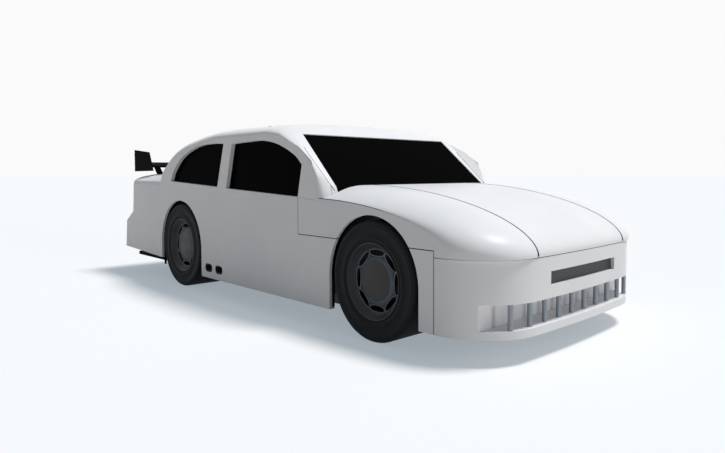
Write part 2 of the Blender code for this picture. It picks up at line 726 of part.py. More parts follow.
def side_outline():
    """The flat side's outline: arches are cut later."""
    roof = inset_line(roof_line(), FIT)
    outline = [(-ARCH_RADIUS, SILL_Z), (-ARCH_RADIUS + SIDE_WALL * 2, SEAM_Z)]
    outline += [(-DOOR_SEAM_BACK - FIT, SEAM_Z), (-DOOR_SEAM_BACK - FIT, DOOR_SEAM_Z)]
    outline += roof
    outline += [(-DECK_REAR_BACK, DECK_EDGE_Z - FIT), (-DECK_REAR_BACK - TAIL_LEAN, DECK_LIP_Z)]
    outline += [(BUMPER_SHELF_AHEAD, BUMPER_SHELF_Z), (TAIL_AHEAD, TAIL_SILL_REAR_Z)]
    outline += [(-WHEELBASE - ARCH_RADIUS, TAIL_SILL_FRONT_Z), (-WHEELBASE, SILL_Z)]
    return outline


def inset_line(line, distance):
    """An open line moved inwards along its normals."""
    return [tuple(p) for p in np.array(line) - distance * line_normals(line)]


def window_outlines():
    """The side windows' outlines as (ahead, z)."""
    outlines = {}
    for name, box, shares in (("door_window", DOOR_WINDOW_BOX_SHARES, DOOR_WINDOW_SHARES),
                              ("quarter_window", REAR_WINDOW_BOX_SHARES, REAR_WINDOW_SHARES)):
        rear, base = on_roof(box[:2])
        outlines[name] = placed_shares(shares, rear, base, box[2] * ROOF_LENGTH, box[3] * ROOF_SIDE_RISE)
    return outlines


def outlet_outline(ahead, clearance):
    """The rounded outline of an exhaust outlet."""
    turns = [2 * math.pi * (k + 0.5) / 16 for k in range(16)]
    return [(ahead + (OUTLET_HALF_LENGTH + clearance) * squared(math.cos(t), OUTLET_CORNER_SHARE),
             OUTLET_Z + (OUTLET_HALF_HEIGHT + clearance) * squared(math.sin(t), OUTLET_CORNER_SHARE))
            for t in turns]


def build_sides():
    inner = HALF_WIDTH - SIDE_WALL
    for name, side in (("right", -1), ("left", 1)):
        cutters = arch_cutter(0) + arch_cutter(-WHEELBASE)
        for outline in window_outlines().values():
            cutters.append(prism(outline, side * (inner - OVERRUN), side * (HALF_WIDTH + OVERRUN), 1))
        if side < 0:
            for ahead in OUTLET_AHEADS:
                cutters.append(prism(outlet_outline(ahead, FIT), -inner + OVERRUN, -HALF_WIDTH - OVERRUN, 1))
        panel = prism(side_outline(), side * inner, side * HALF_WIDTH, 1)
        add("side_panel_" + name, cut(panel, *cutters), "body_white")
        for window, outline in window_outlines().items():
            pane = prism(inset(outline, FIT), side * inner, side * (inner + GLASS), 1)
            add(window + "_" + name, pane, "black_glass")


def roof_envelope(depth):
    """The roof's outer form, sunk by a depth, with the windshield's plane and the cowl's end cut."""
    section = [(PILLAR_HALF, 0), (HALF_WIDTH + SKIN, PILLAR_FLARE_HEIGHT), (HALF_WIDTH + SKIN, HALF_WIDTH)]
    cutter = slope_solid(SHIELD_BASE, SHIELD_HEAD, (section, section), OVERRUN * 2)
    cowl_end = block((-HOOD_REAR_BACK - COWL_GAP, OVERRUN), (-PILLAR_HALF, PILLAR_HALF),
                     (ROOF_BASE_Z - OVERRUN, COWL_Z))
    return cut(barrel(depth, HALF_WIDTH, 0), cutter, cowl_end)


def build_roof():
    outer = roof_envelope(0)
    inner = barrel(SIDE_WALL, HALF_WIDTH - SIDE_WALL, OVERRUN)
    high = HALF_WIDTH
    back_section = [(HALF_WIDTH + SKIN, 0), (HALF_WIDTH + SKIN, high)]
    inner_section = [(HALF_WIDTH + SKIN, -SIDE_WALL), (HALF_WIDTH + SKIN, high)]
    back_cutter = slope_solid(BACKLIGHT_BASE, BACKLIGHT_HEAD, (back_section, back_section), OVERRUN * 3)
    inner = cut(inner, slope_solid(SHIELD_BASE, SHIELD_HEAD, (inner_section, inner_section), OVERRUN * 4),
                slope_solid(BACKLIGHT_BASE, BACKLIGHT_HEAD, (inner_section, inner_section), OVERRUN * 3))
    shield_hole = [[(w, -3 * SIDE_WALL), (w, SIDE_WALL)] for w in (SHIELD_BASE_HALF, SHIELD_HEAD_HALF)]
    back_hole = [[(w, -3 * SIDE_WALL), (w, SIDE_WALL)] for w in (BACKLIGHT_BASE_HALF, BACKLIGHT_HEAD_HALF)]
    stern = block((TAIL_AHEAD, ROOF_REAR_AHEAD), (-high - OVERRUN, high + OVERRUN),
                  (ROOF_BASE_Z - OVERRUN, high * 2))
    slope = np.array(BACKLIGHT_HEAD) - np.array(BACKLIGHT_BASE)
    back_base = tuple(np.array(BACKLIGHT_BASE) + BACKLIGHT_MARGIN * slope / np.linalg.norm(slope))
    line = roof_line()
    under = line + [(line[-1][0], ROOF_BASE_Z - OVERRUN), (line[0][0], ROOF_BASE_Z - OVERRUN)]
    seats = [prism(under, side * (HALF_WIDTH - SIDE_WALL - FIT), side * (HALF_WIDTH + OVERRUN), 1)
             for side in (-1, 1)]
    roof = cut(outer, back_cutter, inner, stern, *seats,
               slope_solid(SHIELD_BASE, SHIELD_HEAD, shield_hole, 0),
               slope_solid(back_base, BACKLIGHT_HEAD, back_hole, 0))
    add("roof_shell", roof, "body_white", round_piece=True)
    for name, base, head, halves in (
            ("windshield", SHIELD_BASE, SHIELD_HEAD, (SHIELD_BASE_HALF, SHIELD_HEAD_HALF)),
            ("rear_window", back_base, BACKLIGHT_HEAD, (BACKLIGHT_BASE_HALF, BACKLIGHT_HEAD_HALF))):
        layers = [[(w - FIT * 2, -GLASS_RECESS - GLASS), (w - FIT * 2, -GLASS_RECESS)] for w in halves]
        add(name, slope_solid(base, head, layers, -FIT), "black_glass")


def build_front():
    hood_sides = HOOD_HALF * np.linspace(-1, 1, 7)
    hood = shell(front_surface(SLOPE_SHARES, hood_sides, 0, 0),
                 front_surface(SLOPE_SHARES, hood_sides, SKIN, 0))
    hinge = (at(-HOOD_REAR_BACK), 0, COWL_Z)
    add("hood", hood, "body_white", pivot=hinge, round_piece=True)
    start = HOOD_HALF + MOVING_GAP
    lateral = start + (HALF_WIDTH - start) * np.array([0, 0.3, 0.5, 0.66, 0.78, 0.88, 0.95, 0.985, 1.0])
    walls = SIDE_WALL * (lateral - start) / (HALF_WIDTH - start)
    for name, side in (("right", -1), ("left", 1)):
        grids = []
        for depth, wall in ((0, 0 * walls), (SKIN, walls)):
            grid = front_surface(SLOPE_SHARES, lateral, depth, wall)
            foot = grid[:, -1:].copy()
            foot[:-1, :, 2] = SEAM_Z + FIT
            grid = np.concatenate([grid, foot], axis=1)
            grid[:, :, 1] *= side
            grids.append(grid)
        cap = shell(*grids)
        tab_front = -ROOF_FRONT_BACK + SIDE_WALL
        tab = [(-DOOR_SEAM_BACK, SEAM_Z + FIT), (tab_front, SEAM_Z + FIT), (tab_front, ROOF_BASE_Z - FIT),
               (-ROOF_FRONT_BACK, ROOF_BASE_Z - FIT), (-DOOR_SEAM_BACK, DOOR_SEAM_Z - FIT * 2)]
        plate = prism(tab, side * (HALF_WIDTH - SIDE_WALL), side * HALF_WIDTH, 1)
        fender = cut(join(cut(cap, roof_foot_cutter()), plate), *arch_cutter(0))
        add("front_fender_" + name, fender, "body_white", round_piece=True)
        end = NOSE_FLAT_AHEAD - NOSE_CORNER_RADIUS - FIT
        strip = [(ARCH_RADIUS, SPLITTER_BASE_Z), (end, SPLITTER_BASE_Z), (end, SEAM_Z),
                 (ARCH_RADIUS - OVERRUN, SEAM_Z), (ARCH_RADIUS - OVERRUN, AXLE_Z)]
        inner = HALF_WIDTH - SIDE_WALL
        cap_end = NOSE_FLAT_AHEAD - CAP_CORNER_RADIUS - SEAT_GAP
        tongue = [(end - SKIN, inner), (cap_end - SKIN, inner), (cap_end, HALF_WIDTH),
                  (end - SKIN, HALF_WIDTH)]
        tongue = prism([(a, side * y) for a, y in tongue], NOSE_TOP_Z + FIT, SEAM_Z, 2)
        lower = cut(join(prism(strip, side * inner, side * HALF_WIDTH, 1), tongue), *arch_cutter(0))
        add("fender_lower_" + name, lower, "body_white")


def build_nose():
    back = NOSE_FLAT_AHEAD - NOSE_CORNER_RADIUS
    floor = SPLITTER_BASE_Z + SPLITTER_THICKNESS
    outer = prism(nose_outline(NOSE_CORNER_RADIUS, 0, back), floor + FIT, NOSE_TOP_Z, 2)
    upper = prism(nose_outline(NOSE_CORNER_RADIUS, SIDE_WALL, back - OVERRUN), RECESS_TOP_Z + SIDE_WALL,
                  NOSE_TOP_Z + OVERRUN, 2)
    lower = prism(nose_outline(NOSE_CORNER_RADIUS, SIDE_WALL, back - OVERRUN, RECESS_BACK_AHEAD - SIDE_WALL),
                  0, RECESS_TOP_Z + 2 * SIDE_WALL, 2)
    recess = block((RECESS_BACK_AHEAD, FRONT_OVERHANG + OVERRUN), (-HALF_WIDTH, HALF_WIDTH),
                   (0, RECESS_TOP_Z))
    slot = block((RECESS_BACK_AHEAD, FRONT_OVERHANG + OVERRUN), (-GRILLE_HALF, GRILLE_HALF),
                 (GRILLE_BASE_Z, GRILLE_BASE_Z + GRILLE_HEIGHT))
    add("nose_fascia", cut(outer, upper, lower, recess, slot), "body_white", round_piece=True)
    grille = block((NOSE_FLAT_AHEAD - SIDE_WALL, NOSE_FLAT_AHEAD - GRILLE_INSET),
                   (-GRILLE_HALF + FIT, GRILLE_HALF - FIT),
                   (GRILLE_BASE_Z + FIT, GRILLE_BASE_Z + GRILLE_HEIGHT - FIT))
    add("grille_panel", grille, "dark_grey")
    plate = prism(nose_outline(NOSE_CORNER_RADIUS, 0, back), SPLITTER_BASE_Z, floor, 2)
    posts = []
    for k in range(POST_COUNT):
        y = (k - (POST_COUNT - 1) / 2) * POST_PITCH
        edge = float(nose_reach(np.array([y]), NOSE_CORNER_RADIUS, POST_EDGE)[0])
        ahead = min(edge, POST_LINE_AHEAD)
        posts.append(prism(circle((ahead, y), POST_RADIUS), floor - SPLITTER_THICKNESS / 2,
                           RECESS_TOP_Z - FIT, 2))
    add("splitter", join(plate, *posts), "body_white")


LID_SIDE_SHARES = np.linspace(-1, 1, 13)


def build_tail():
    sides = HALF_WIDTH * FULL_SHARES
    aheads = np.linspace(ROOF_REAR_AHEAD - FIT, -DECK_REAR_BACK, 4)
    outer = deck_surface(aheads, sides, 0)
    inner = deck_surface(aheads, sides * (1 - SKIN / HALF_WIDTH), SKIN)
    inner[:, :, 2] = np.maximum(inner[:, :, 2], DECK_EDGE_Z)
    deck = shell(outer, inner)
    inner_half = HALF_WIDTH - SIDE_WALL - FIT
    crest = [(y, DECK_EDGE_Z + DECK_CROWN * float(crown(y / HALF_WIDTH, DECK_CROWN_POWER)) - SKIN / 2)
             for y in inner_half * FULL_SHARES]
    plate = prism([(-inner_half, DECK_LIP_Z + FIT)] + [(inner_half, DECK_LIP_Z + FIT)] + crest[::-1],
                  -DECK_REAR_BACK + SKIN, -DECK_REAR_BACK, 0)
    lean = TAIL_LEAN / (DECK_EDGE_Z - DECK_LIP_Z)
    for vertex in plate.vertices:
        vertex.co.x -= max(0.0, DECK_EDGE_Z - vertex.co.z) * lean
    opening = (LID_REAR_AHEAD - LID_END_GAP, LID_FRONT_AHEAD + LID_END_GAP)
    lid_sides = (LID_HALF + MOVING_GAP) * LID_SIDE_SHARES
    ends = np.array(opening)
    rebate = shell(deck_surface(ends, lid_sides, -OVERRUN),
                   deck_surface(ends, lid_sides, LID_THICKNESS + FIT))
    through = block((opening[0] + LID_LEDGE, opening[1] - LID_LEDGE),
                    (-LID_HALF + LID_LEDGE, LID_HALF - LID_LEDGE), (DECK_LIP_Z, DECK_EDGE_Z + 2 * DECK_CROWN))
    add("tail_panel", cut(join(deck, plate), rebate, through), "body_white", round_piece=True)
    lid_ends = np.linspace(LID_FRONT_AHEAD, LID_REAR_AHEAD, 3)
    lid_sides = LID_HALF * LID_SIDE_SHARES
    lid = shell(deck_surface(lid_ends, lid_sides, 0), deck_surface(lid_ends, lid_sides, LID_THICKNESS))
    hinge = (at(LID_FRONT_AHEAD), 0, DECK_EDGE_Z + DECK_CROWN)
    lid_body = joint_empty("deck_lid_hinge", hinge)
    add("deck_lid", lid, "body_white", pivot=hinge, parent=lid_body, round_piece=True)
    bumper_line = [(-DECK_REAR_BACK - TAIL_LEAN, DECK_LIP_Z), (BUMPER_SHELF_AHEAD, BUMPER_SHELF_Z),
                   (TAIL_AHEAD, TAIL_SILL_REAR_Z)]
    face = bumper_line + [(TAIL_AHEAD + SIDE_WALL, TAIL_SILL_REAR_Z), (BUMPER_SHELF_AHEAD + SIDE_WALL,
                          BUMPER_SHELF_Z - SIDE_WALL), (-DECK_REAR_BACK - TAIL_LEAN + SIDE_WALL,
                          DECK_LIP_Z - SIDE_WALL), (-DECK_REAR_BACK - TAIL_LEAN + SIDE_WALL, DECK_LIP_Z)]
    add("rear_bumper", prism(face, -inner_half, inner_half, 1), "body_white")
    build_wing(lid_body)


def build_wing(lid_body):
    hinge = lid_body.location
    blade_outline = [(WING_FRONT_AHEAD - s * WING_CHORD, WING_BASE_Z + h * WING_THICKNESS)
                     for s, h in WING_CHORD_SHARES]
    blade = prism(blade_outline, -WING_HALF, WING_HALF, 1)
    supports = []
    for side in (-1, 1):
        edge = WING_SUPPORT_HALF_Y - WING_SUPPORT_WIDTH / 2
        lid_sides = LID_HALF * LID_SIDE_SHARES
        lid_heights = DECK_EDGE_Z + DECK_CROWN * crown(lid_sides / HALF_WIDTH, DECK_CROWN_POWER)
        foot = float(np.interp(edge, lid_sides, lid_heights)) + FIT
        outline = [(WING_SUPPORT_FRONT, foot), (WING_SUPPORT_REAR, foot),
                   (WING_SUPPORT_REAR - OVERRUN, WING_BASE_Z + WING_THICKNESS / 3),
                   (WING_SUPPORT_FRONT - OVERRUN, WING_BASE_Z + WING_THICKNESS / 3)]
        supports.append(prism(outline, side * edge, side * (edge + WING_SUPPORT_WIDTH), 1))
    add("rear_wing", join(blade, *supports), "black_plastic", pivot=tuple(hinge), parent=lid_body)
    for name, side in (("right", -1), ("left", 1)):
        outline = [(ENDPLATE_TIP_AHEAD + s * ENDPLATE_LENGTH, ENDPLATE_BASE_Z + h * ENDPLATE_HEIGHT)
                   for s, h in ENDPLATE_SHARES]
        start = WING_HALF + FIT
        plate = prism(outline, side * start, side * (start + ENDPLATE_THICKNESS), 1)
        add("wing_endplate_" + name, plate, "black_plastic", pivot=tuple(hinge), parent=lid_body)


# Chassis

def build_floor():
    inner_half = HALF_WIDTH - SIDE_WALL - FIT
    foot, top = TUNNEL_HALF_FOOT, TUNNEL_HALF_TOP
    lower = [(-inner_half, FLOOR_Z), (-foot, FLOOR_Z), (-top, TUNNEL_TOP_Z), (top, TUNNEL_TOP_Z),
             (foot, FLOOR_Z), (inner_half, FLOOR_Z)]
    floor_top, tunnel_top = FLOOR_Z + SHEET, TUNNEL_TOP_Z + SHEET
    upper = [(inner_half, floor_top), (foot + SHEET, floor_top), (top + SHEET, tunnel_top),
             (-top - SHEET, tunnel_top), (-foot - SHEET, floor_top), (-inner_half, floor_top)]
    pan = prism(lower + upper, -FIREWALL_BACK, -FLOOR_REAR_BACK, 0)
    wall = lower + [(inner_half, FIREWALL_TOP_Z), (-inner_half, FIREWALL_TOP_Z)]
    firewall = prism(wall, -FIREWALL_BACK, -FIREWALL_BACK - SHEET, 0)
    add("floor_pan", join(pan, firewall), "chassis_black")
    bulkhead = lower + [(inner_half, TRUNK_FLOOR_Z + SHEET), (-inner_half, TRUNK_FLOOR_Z + SHEET)]
    rear_wall = prism(bulkhead, -FLOOR_REAR_BACK - FIT, -FLOOR_REAR_BACK - SHEET, 0)
    deck = block((-FLOOR_REAR_BACK - FIT, TRUNK_REAR_AHEAD), (-inner_half, inner_half),
                 (TRUNK_FLOOR_Z, TRUNK_FLOOR_Z + SHEET))
    reach = REAR_WELL_RADIUS - WELL_SHEET / 2
    notches = [block((-WHEELBASE - reach, -WHEELBASE + reach),
                     (side * WELL_HALF, side * (HALF_WIDTH + OVERRUN)),
                     (TRUNK_FLOOR_Z - OVERRUN, TRUNK_FLOOR_Z + OVERRUN)) for side in (-1, 1)]
    trunk = cut(join(rear_wall, deck), *notches)
    wells = []
    for side in (-1, 1):
        band = well_band(-WHEELBASE, REAR_WELL_RADIUS, 0)
        wells.append(prism(band, side * WELL_HALF, side * inner_half, 1))
        disc = round_points((-WHEELBASE, AXLE_Z), REAR_WELL_RADIUS + WELL_SHEET / 2, 25, 155, 14)
        wells.append(prism(disc, side * (WELL_HALF - WELL_SHEET), side * (WELL_HALF + WELL_SHEET / 2), 1))
    add("rear_floor", join(trunk, *wells), "chassis_black")
    for name, side in (("right", -1), ("left", 1)):
        band = prism(well_band(0, FRONT_WELL_RADIUS, 12), side * FRONT_WELL_INNER_Y, side * inner_half, 1)
        shoulder = block((-ARCH_RADIUS * 2, ARCH_RADIUS * 2),
                         (side * (inner_half - WELL_SHOULDER), side * HALF_WIDTH), (SEAM_Z + OVERRUN, COWL_Z))
        add("front_wheelhouse_" + name, cut(band, shoulder), "chassis_black")


def well_band(ahead, radius, low_angle):
    """The half ring of a wheelhouse over a tyre."""
    outer = round_points((ahead, AXLE_Z), radius + WELL_SHEET, low_angle, 180 - low_angle, 16)
    return outer + round_points((ahead, AXLE_Z), radius, 180 - low_angle, low_angle, 16)


def build_rails():
    for name, side in (("right", -1), ("left", 1)):
        rail = section_bar([(a, side * y, z, RAIL_HALF, h) for a, y, z, h in RAIL_SECTIONS])
        y, z = RAIL_SECTIONS[0][1], RAIL_SECTIONS[0][2]
        tower = block((-TOWER_HALF, TOWER_HALF), (side * (y - RAIL_HALF + FIT), side * (y + RAIL_HALF - FIT)),
                      (z, TOWER_TOP_Z))
        add("frame_rail_" + name, join(rail, tower), "chassis_black")
    inner = RAIL_SECTIONS[0][1] - RAIL_HALF - FIT
    member = block((-CROSSMEMBER_HALF, CROSSMEMBER_HALF), (-inner, inner),
                   (CROSSMEMBER_BASE_Z, CROSSMEMBER_BASE_Z + CROSSMEMBER_HEIGHT))
    add("front_crossmember", member, "chassis_black")


def build_driveline():
    base = CROSSMEMBER_BASE_Z + CROSSMEMBER_HEIGHT + FIT
    half_foot = ENGINE_HALF * ENGINE_FOOT_SHARE
    shoulder = base + (ENGINE_TOP_Z - base) * ENGINE_SHOULDER_SHARE
    half = [(half_foot, base), (ENGINE_HALF, shoulder), (ENGINE_HALF, ENGINE_TOP_Z - SKIN),
            (half_foot, ENGINE_TOP_Z)]
    block_outline = half + [(-y, z) for y, z in reversed(half)]
    engine_rear = ENGINE_FRONT_AHEAD - ENGINE_LENGTH
    add("engine_block", prism(block_outline, ENGINE_FRONT_AHEAD, engine_rear, 0), "cast_iron")
    width = TUNNEL_HALF_TOP * GEARBOX_CASE_SHARE
    gearbox = turned([(0, engine_rear - FIT), (width, engine_rear - FIT), (width, -FIREWALL_BACK - OVERRUN),
                      (width * GEARBOX_TAIL_SHARES[0], -FIREWALL_BACK - 3 * OVERRUN),
                      (width * GEARBOX_TAIL_SHARES[1], GEARBOX_REAR_AHEAD),
                      (0, GEARBOX_REAR_AHEAD)], 0, GEARBOX_Z, axis=0, segments=16)
    add("gearbox", gearbox, "cast_iron", round_piece=True)
    axle = turned([(0, -HUB_INNER_Y + AXLE_END_GAP), (AXLE_TUBE_RADIUS, -HUB_INNER_Y + AXLE_END_GAP),
                   (AXLE_TUBE_RADIUS, -DIFF_RADIUS), (DIFF_RADIUS, -DIFF_RADIUS / 2),
                   (DIFF_RADIUS, DIFF_RADIUS / 2),
                   (AXLE_TUBE_RADIUS, DIFF_RADIUS), (AXLE_TUBE_RADIUS, HUB_INNER_Y - AXLE_END_GAP),
                   (0, HUB_INNER_Y - AXLE_END_GAP)], -WHEELBASE, AXLE_Z, segments=16)
    rail_base = RAIL_SECTIONS[-1][2] - RAIL_SECTIONS[-1][3]
    extras = []
    for side in (-1, 1):
        y = side * LINK_Y
        spring = circle((-WHEELBASE, side * RAIL_AXLE_Y), SPRING_RADIUS)
        extras.append(prism(spring, AXLE_Z, rail_base - FIT, 2))
        extras.append(swept([(-LINK_FRONT_BACK, y, LINK_FRONT_Z), (-WHEELBASE, y, AXLE_Z - SHAFT_RADIUS / 2)],
                            [LINK_RADIUS, LINK_RADIUS], 8))
    add("rear_axle", join(axle, *extras), "chassis_black", round_piece=True)
    ends = ((GEARBOX_REAR_AHEAD - FIT, GEARBOX_Z), (-WHEELBASE + DIFF_RADIUS + FIT, AXLE_Z))
    shaft = tube_of_rings([[(at(ahead), y, height + z) for y, z in circle((0, 0), SHAFT_RADIUS)]
                           for ahead, height in ends])
    add("drive_shaft", shaft, "cast_iron", round_piece=True)


def build_exhaust():
    muffler = block((-MUFFLER_REAR_BACK, -MUFFLER_FRONT_BACK), (-MUFFLER_OUTER_Y, -MUFFLER_INNER_Y),
                    (FLOOR_Z - FIT - MUFFLER_HEIGHT, FLOOR_Z - FIT))
    pieces = []
    for ahead, inner_y in zip(OUTLET_AHEADS, [MUFFLER_OUTER_Y * share for share in PIPE_INNER_SHARES]):
        turn = OUTLET_HALF_LENGTH
        path = [(-MUFFLER_REAR_BACK + turn / 2, -inner_y, PIPE_Z), (ahead + turn * 1.2, -inner_y, PIPE_Z),
                (ahead + turn * 0.2, -inner_y - turn / 2, PIPE_Z + turn * 0.35),
                (ahead, -inner_y - turn * 1.2, PIPE_Z + turn * 0.6), (ahead, -KINGPIN_Y, OUTLET_Z)]
        pipe = swept(path, [PIPE_RADIUS] * 5, 10)
        end = prism(outlet_outline(ahead, -FIT), -KINGPIN_Y + PIPE_RADIUS, -HALF_WIDTH + FIT * 10, 1)
        bore = prism(outlet_outline(ahead, -OUTLET_WALL), -HALF_WIDTH + OUTLET_DEPTH,
                     -HALF_WIDTH - OVERRUN, 1)
        pieces.append(pipe)
        pieces.append(cut(end, bore))
    front = swept([(-MUFFLER_FRONT_BACK - PIPE_RADIUS, -FRONT_PIPE_Y, PIPE_Z),
                   (-FRONT_PIPE_BACK, -FRONT_PIPE_BEND_Y, PIPE_Z),
                   (-FRONT_PIPE_BEND_BACK, -FRONT_PIPE_TOP_Y, PIPE_Z + FRONT_PIPE_BEND_RISE),
                   (-FRONT_PIPE_TOP_BACK, -FRONT_PIPE_TOP_Y, PIPE_Z + FRONT_PIPE_FOOT_RISE),
                   (-FRONT_PIPE_TOP_BACK, -FRONT_PIPE_TOP_Y, PIPE_Z + FRONT_PIPE_RISE)],
                  [PIPE_RADIUS] * 5, 10)
    add("exhaust", join(muffler, front, *pieces), "exhaust_steel", round_piece=True)


def build_tank():
    tray = block((-TRAY_REAR_BACK, -TRAY_FRONT_BACK), (-TRAY_HALF, TRAY_HALF),
                 (TRAY_TOP_Z - TRAY_THICKNESS, TRAY_TOP_Z))
    add("rear_undertray", tray, "black_plastic")
    cell = block((-FUEL_FRONT_BACK - FUEL_LENGTH, -FUEL_FRONT_BACK), (-FUEL_HALF, FUEL_HALF),
                 (TRAY_TOP_Z + FIT, TRUNK_FLOOR_Z - FIT))
    add("fuel_cell", cell, "black_plastic")


def build_suspension():
    rail_face = RAIL_SECTIONS[0][1] + RAIL_HALF
    for name, side in (("right", -1), ("left", 1)):
        for arm, base, thickness, inner_half in (
                ("lower_arm_", LOWER_ARM_Z, ARM_THICKNESS, ARM_INNER_HALF_LENGTH),
                ("upper_arm_", UPPER_ARM_Z, UPPER_ARM_THICKNESS, TOWER_HALF)):
            start = rail_face + FIT
            neck = start + ARM_NECK_SHARE * (KINGPIN_Y - start)
            tip = ARM_TIP_HALF_LENGTH
            outline = [(-inner_half, start), (-tip - SHEET, neck), (-tip, KINGPIN_Y), (0, KINGPIN_Y + tip),
                       (tip, KINGPIN_Y), (tip + SHEET, neck), (inner_half, start)]
            plate = prism([(a, side * y) for a, y in outline], base, base + thickness, 2)
            add(arm + name, plate, "chassis_black")
        pivot = (at(0), side * KINGPIN_Y, AXLE_Z)
        upright = block((-KNUCKLE_HALF, KNUCKLE_HALF),
                        (side * (KINGPIN_Y - KNUCKLE_HALF), side * (KINGPIN_Y + KNUCKLE_HALF)),
                        (LOWER_ARM_Z + ARM_THICKNESS + FIT, UPPER_ARM_Z - FIT))
        hub_end = HUB_INNER_Y - AXLE_END_GAP
        spindle = turned([(0, side * KINGPIN_Y), (SPINDLE_RADIUS, side * KINGPIN_Y),
                          (SPINDLE_RADIUS, side * hub_end), (0, side * hub_end)],
                         0, AXLE_Z, segments=12)
        arm = block((0, STEER_ARM_AHEAD + STEER_ARM_HALF), (side * (KINGPIN_Y - STEER_ARM_HALF),
                    side * (KINGPIN_Y + STEER_ARM_HALF)), (STEER_ARM_Z, STEER_ARM_Z + STEER_ARM_THICKNESS))
        add("knuckle_" + name, join(upright, spindle, arm), "cast_iron", pivot=pivot)
    reach = KINGPIN_Y + TIE_ROD_END
    rod_z = STEER_ARM_Z - TIE_ROD_GAP - TIE_ROD_RADIUS
    rod = turned([(0, -reach), (TIE_ROD_RADIUS, -reach), (TIE_ROD_RADIUS, reach), (0, reach)],
                 STEER_ARM_AHEAD, rod_z, segments=12)
    add("tie_rod", rod, "cast_iron", pivot=(at(STEER_ARM_AHEAD), 0, rod_z))


# Wheels

def tyre_profile():
    width = TYRE_OUTER_Y - TYRE_INNER_Y
    return [(RIM_RADIUS + r * (TYRE_RADIUS - RIM_RADIUS), TYRE_INNER_Y + s * width) for r, s in TYRE_SHARES]


def rim_profile():
    edge = RIM_RADIUS - FIT
    lip = TYRE_OUTER_Y - RIM_LIP_DEPTH
    disc = TYRE_OUTER_Y - DISC_DEPTH
    inner_edge = TYRE_INNER_Y + RIM_WALL
    return [(0, TYRE_OUTER_Y - HUB_FACE_DEPTH), (HUB_FACE_RADIUS, TYRE_OUTER_Y - HUB_FACE_DEPTH),
            (HUB_BASE_RADIUS, TYRE_OUTER_Y - HUB_BASE_DEPTH), (DISH_RADIUS, disc), (edge - RIM_WALL / 2, lip),
            (edge, lip), (edge, inner_edge), (edge - RIM_WALL, inner_edge),
            (edge - RIM_WALL, disc - DISC_WALL), (DISH_RADIUS, disc - DISC_WALL * 2),
            (HUB_FLANGE_RADIUS + RIM_WALL, TYRE_OUTER_Y - HUB_BASE_DEPTH - DISC_WALL * 1.5),
            (HUB_FLANGE_RADIUS, HUB_INNER_Y), (0, HUB_INNER_Y)]


def slot_cutters(ahead, side):
    """Eight ovals round the wheel's disc, longer round the wheel than across it."""
    cutters = []
    for k in range(SLOT_COUNT):
        turn = 2 * math.pi * k / SLOT_COUNT
        out = (math.cos(turn), math.sin(turn))
        outline = []
        for j in range(SLOT_SEGMENTS):
            t = 2 * math.pi * (j + 0.5) / SLOT_SEGMENTS
            radial = SLOT_RADIUS + SLOT_WIDTH / 2 * squared(math.cos(t), SLOT_END_SHARES[0])
            lengthwise = SLOT_LENGTH / 2 * squared(math.sin(t), SLOT_END_SHARES[1])
            outline.append((ahead + radial * out[0] - lengthwise * out[1],
                            AXLE_Z + radial * out[1] + lengthwise * out[0]))
        cutters.append(prism(outline, side * (HUB_INNER_Y + SHEET), side * (TYRE_OUTER_Y + OVERRUN), 1))
    return cutters


def build_wheels():
    for end, ahead in (("front", 0), ("rear", -WHEELBASE)):
        for name, side in (("right", -1), ("left", 1)):
            pivot = (at(ahead), side * (TYRE_INNER_Y + TYRE_OUTER_Y) / 2, AXLE_Z)
            hub = joint_empty("wheel_axis_" + end + "_" + name, pivot)
            tyre = turned([(r, side * y) for r, y in tyre_profile()], ahead, AXLE_Z)
            add("tyre_" + end + "_" + name, tyre, "tyre_rubber", pivot=pivot, parent=hub, round_piece=True)
            rim = turned([(r, side * y) for r, y in rim_profile()], ahead, AXLE_Z)
            rim = cut(rim, *slot_cutters(ahead, side))
            add("rim_" + end + "_" + name, rim, "wheel_grey", pivot=pivot, parent=hub, round_piece=True)


def main():
    for old in list(bpy.data.objects):
        bpy.data.objects.remove(old)
    finish("body_white", (0.80, 0.80, 0.80), 0.35)
    finish("black_glass", (0.005, 0.005, 0.005), 0.08)
    finish("black_plastic", (0.01, 0.01, 0.01), 0.45)
    finish("dark_grey", (0.035, 0.035, 0.035), 0.55)
    finish("chassis_black", (0.02, 0.02, 0.022), 0.6)
    finish("cast_iron", (0.09, 0.09, 0.1), 0.55, 0.6)
    finish("exhaust_steel", (0.02, 0.02, 0.02), 0.5, 0.4)
    finish("tyre_rubber", (0.012, 0.014, 0.015), 0.85)
    finish("wheel_grey", (0.05, 0.055, 0.06), 0.45, 0.3)
    build_sides()
    build_roof()
    build_front()
    build_nose()
    build_tail()
    build_floor()
    build_rails()
    build_driveline()
    build_exhaust()
    build_tank()
    build_suspension()
    build_wheels()


main()
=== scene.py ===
"""Looks of a full-size stock car: white painted body, black windows and wing, slotted grey wheels.

Metres, +X forward, +Y to the car's left, +Z up, ground at Z 0. Places along the car are given as
distances ahead of the front axle, as in the part, and at() turns them into X.
"""
import json
import math
import bmesh
import bpy
import numpy as np
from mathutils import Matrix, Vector, bvhtree


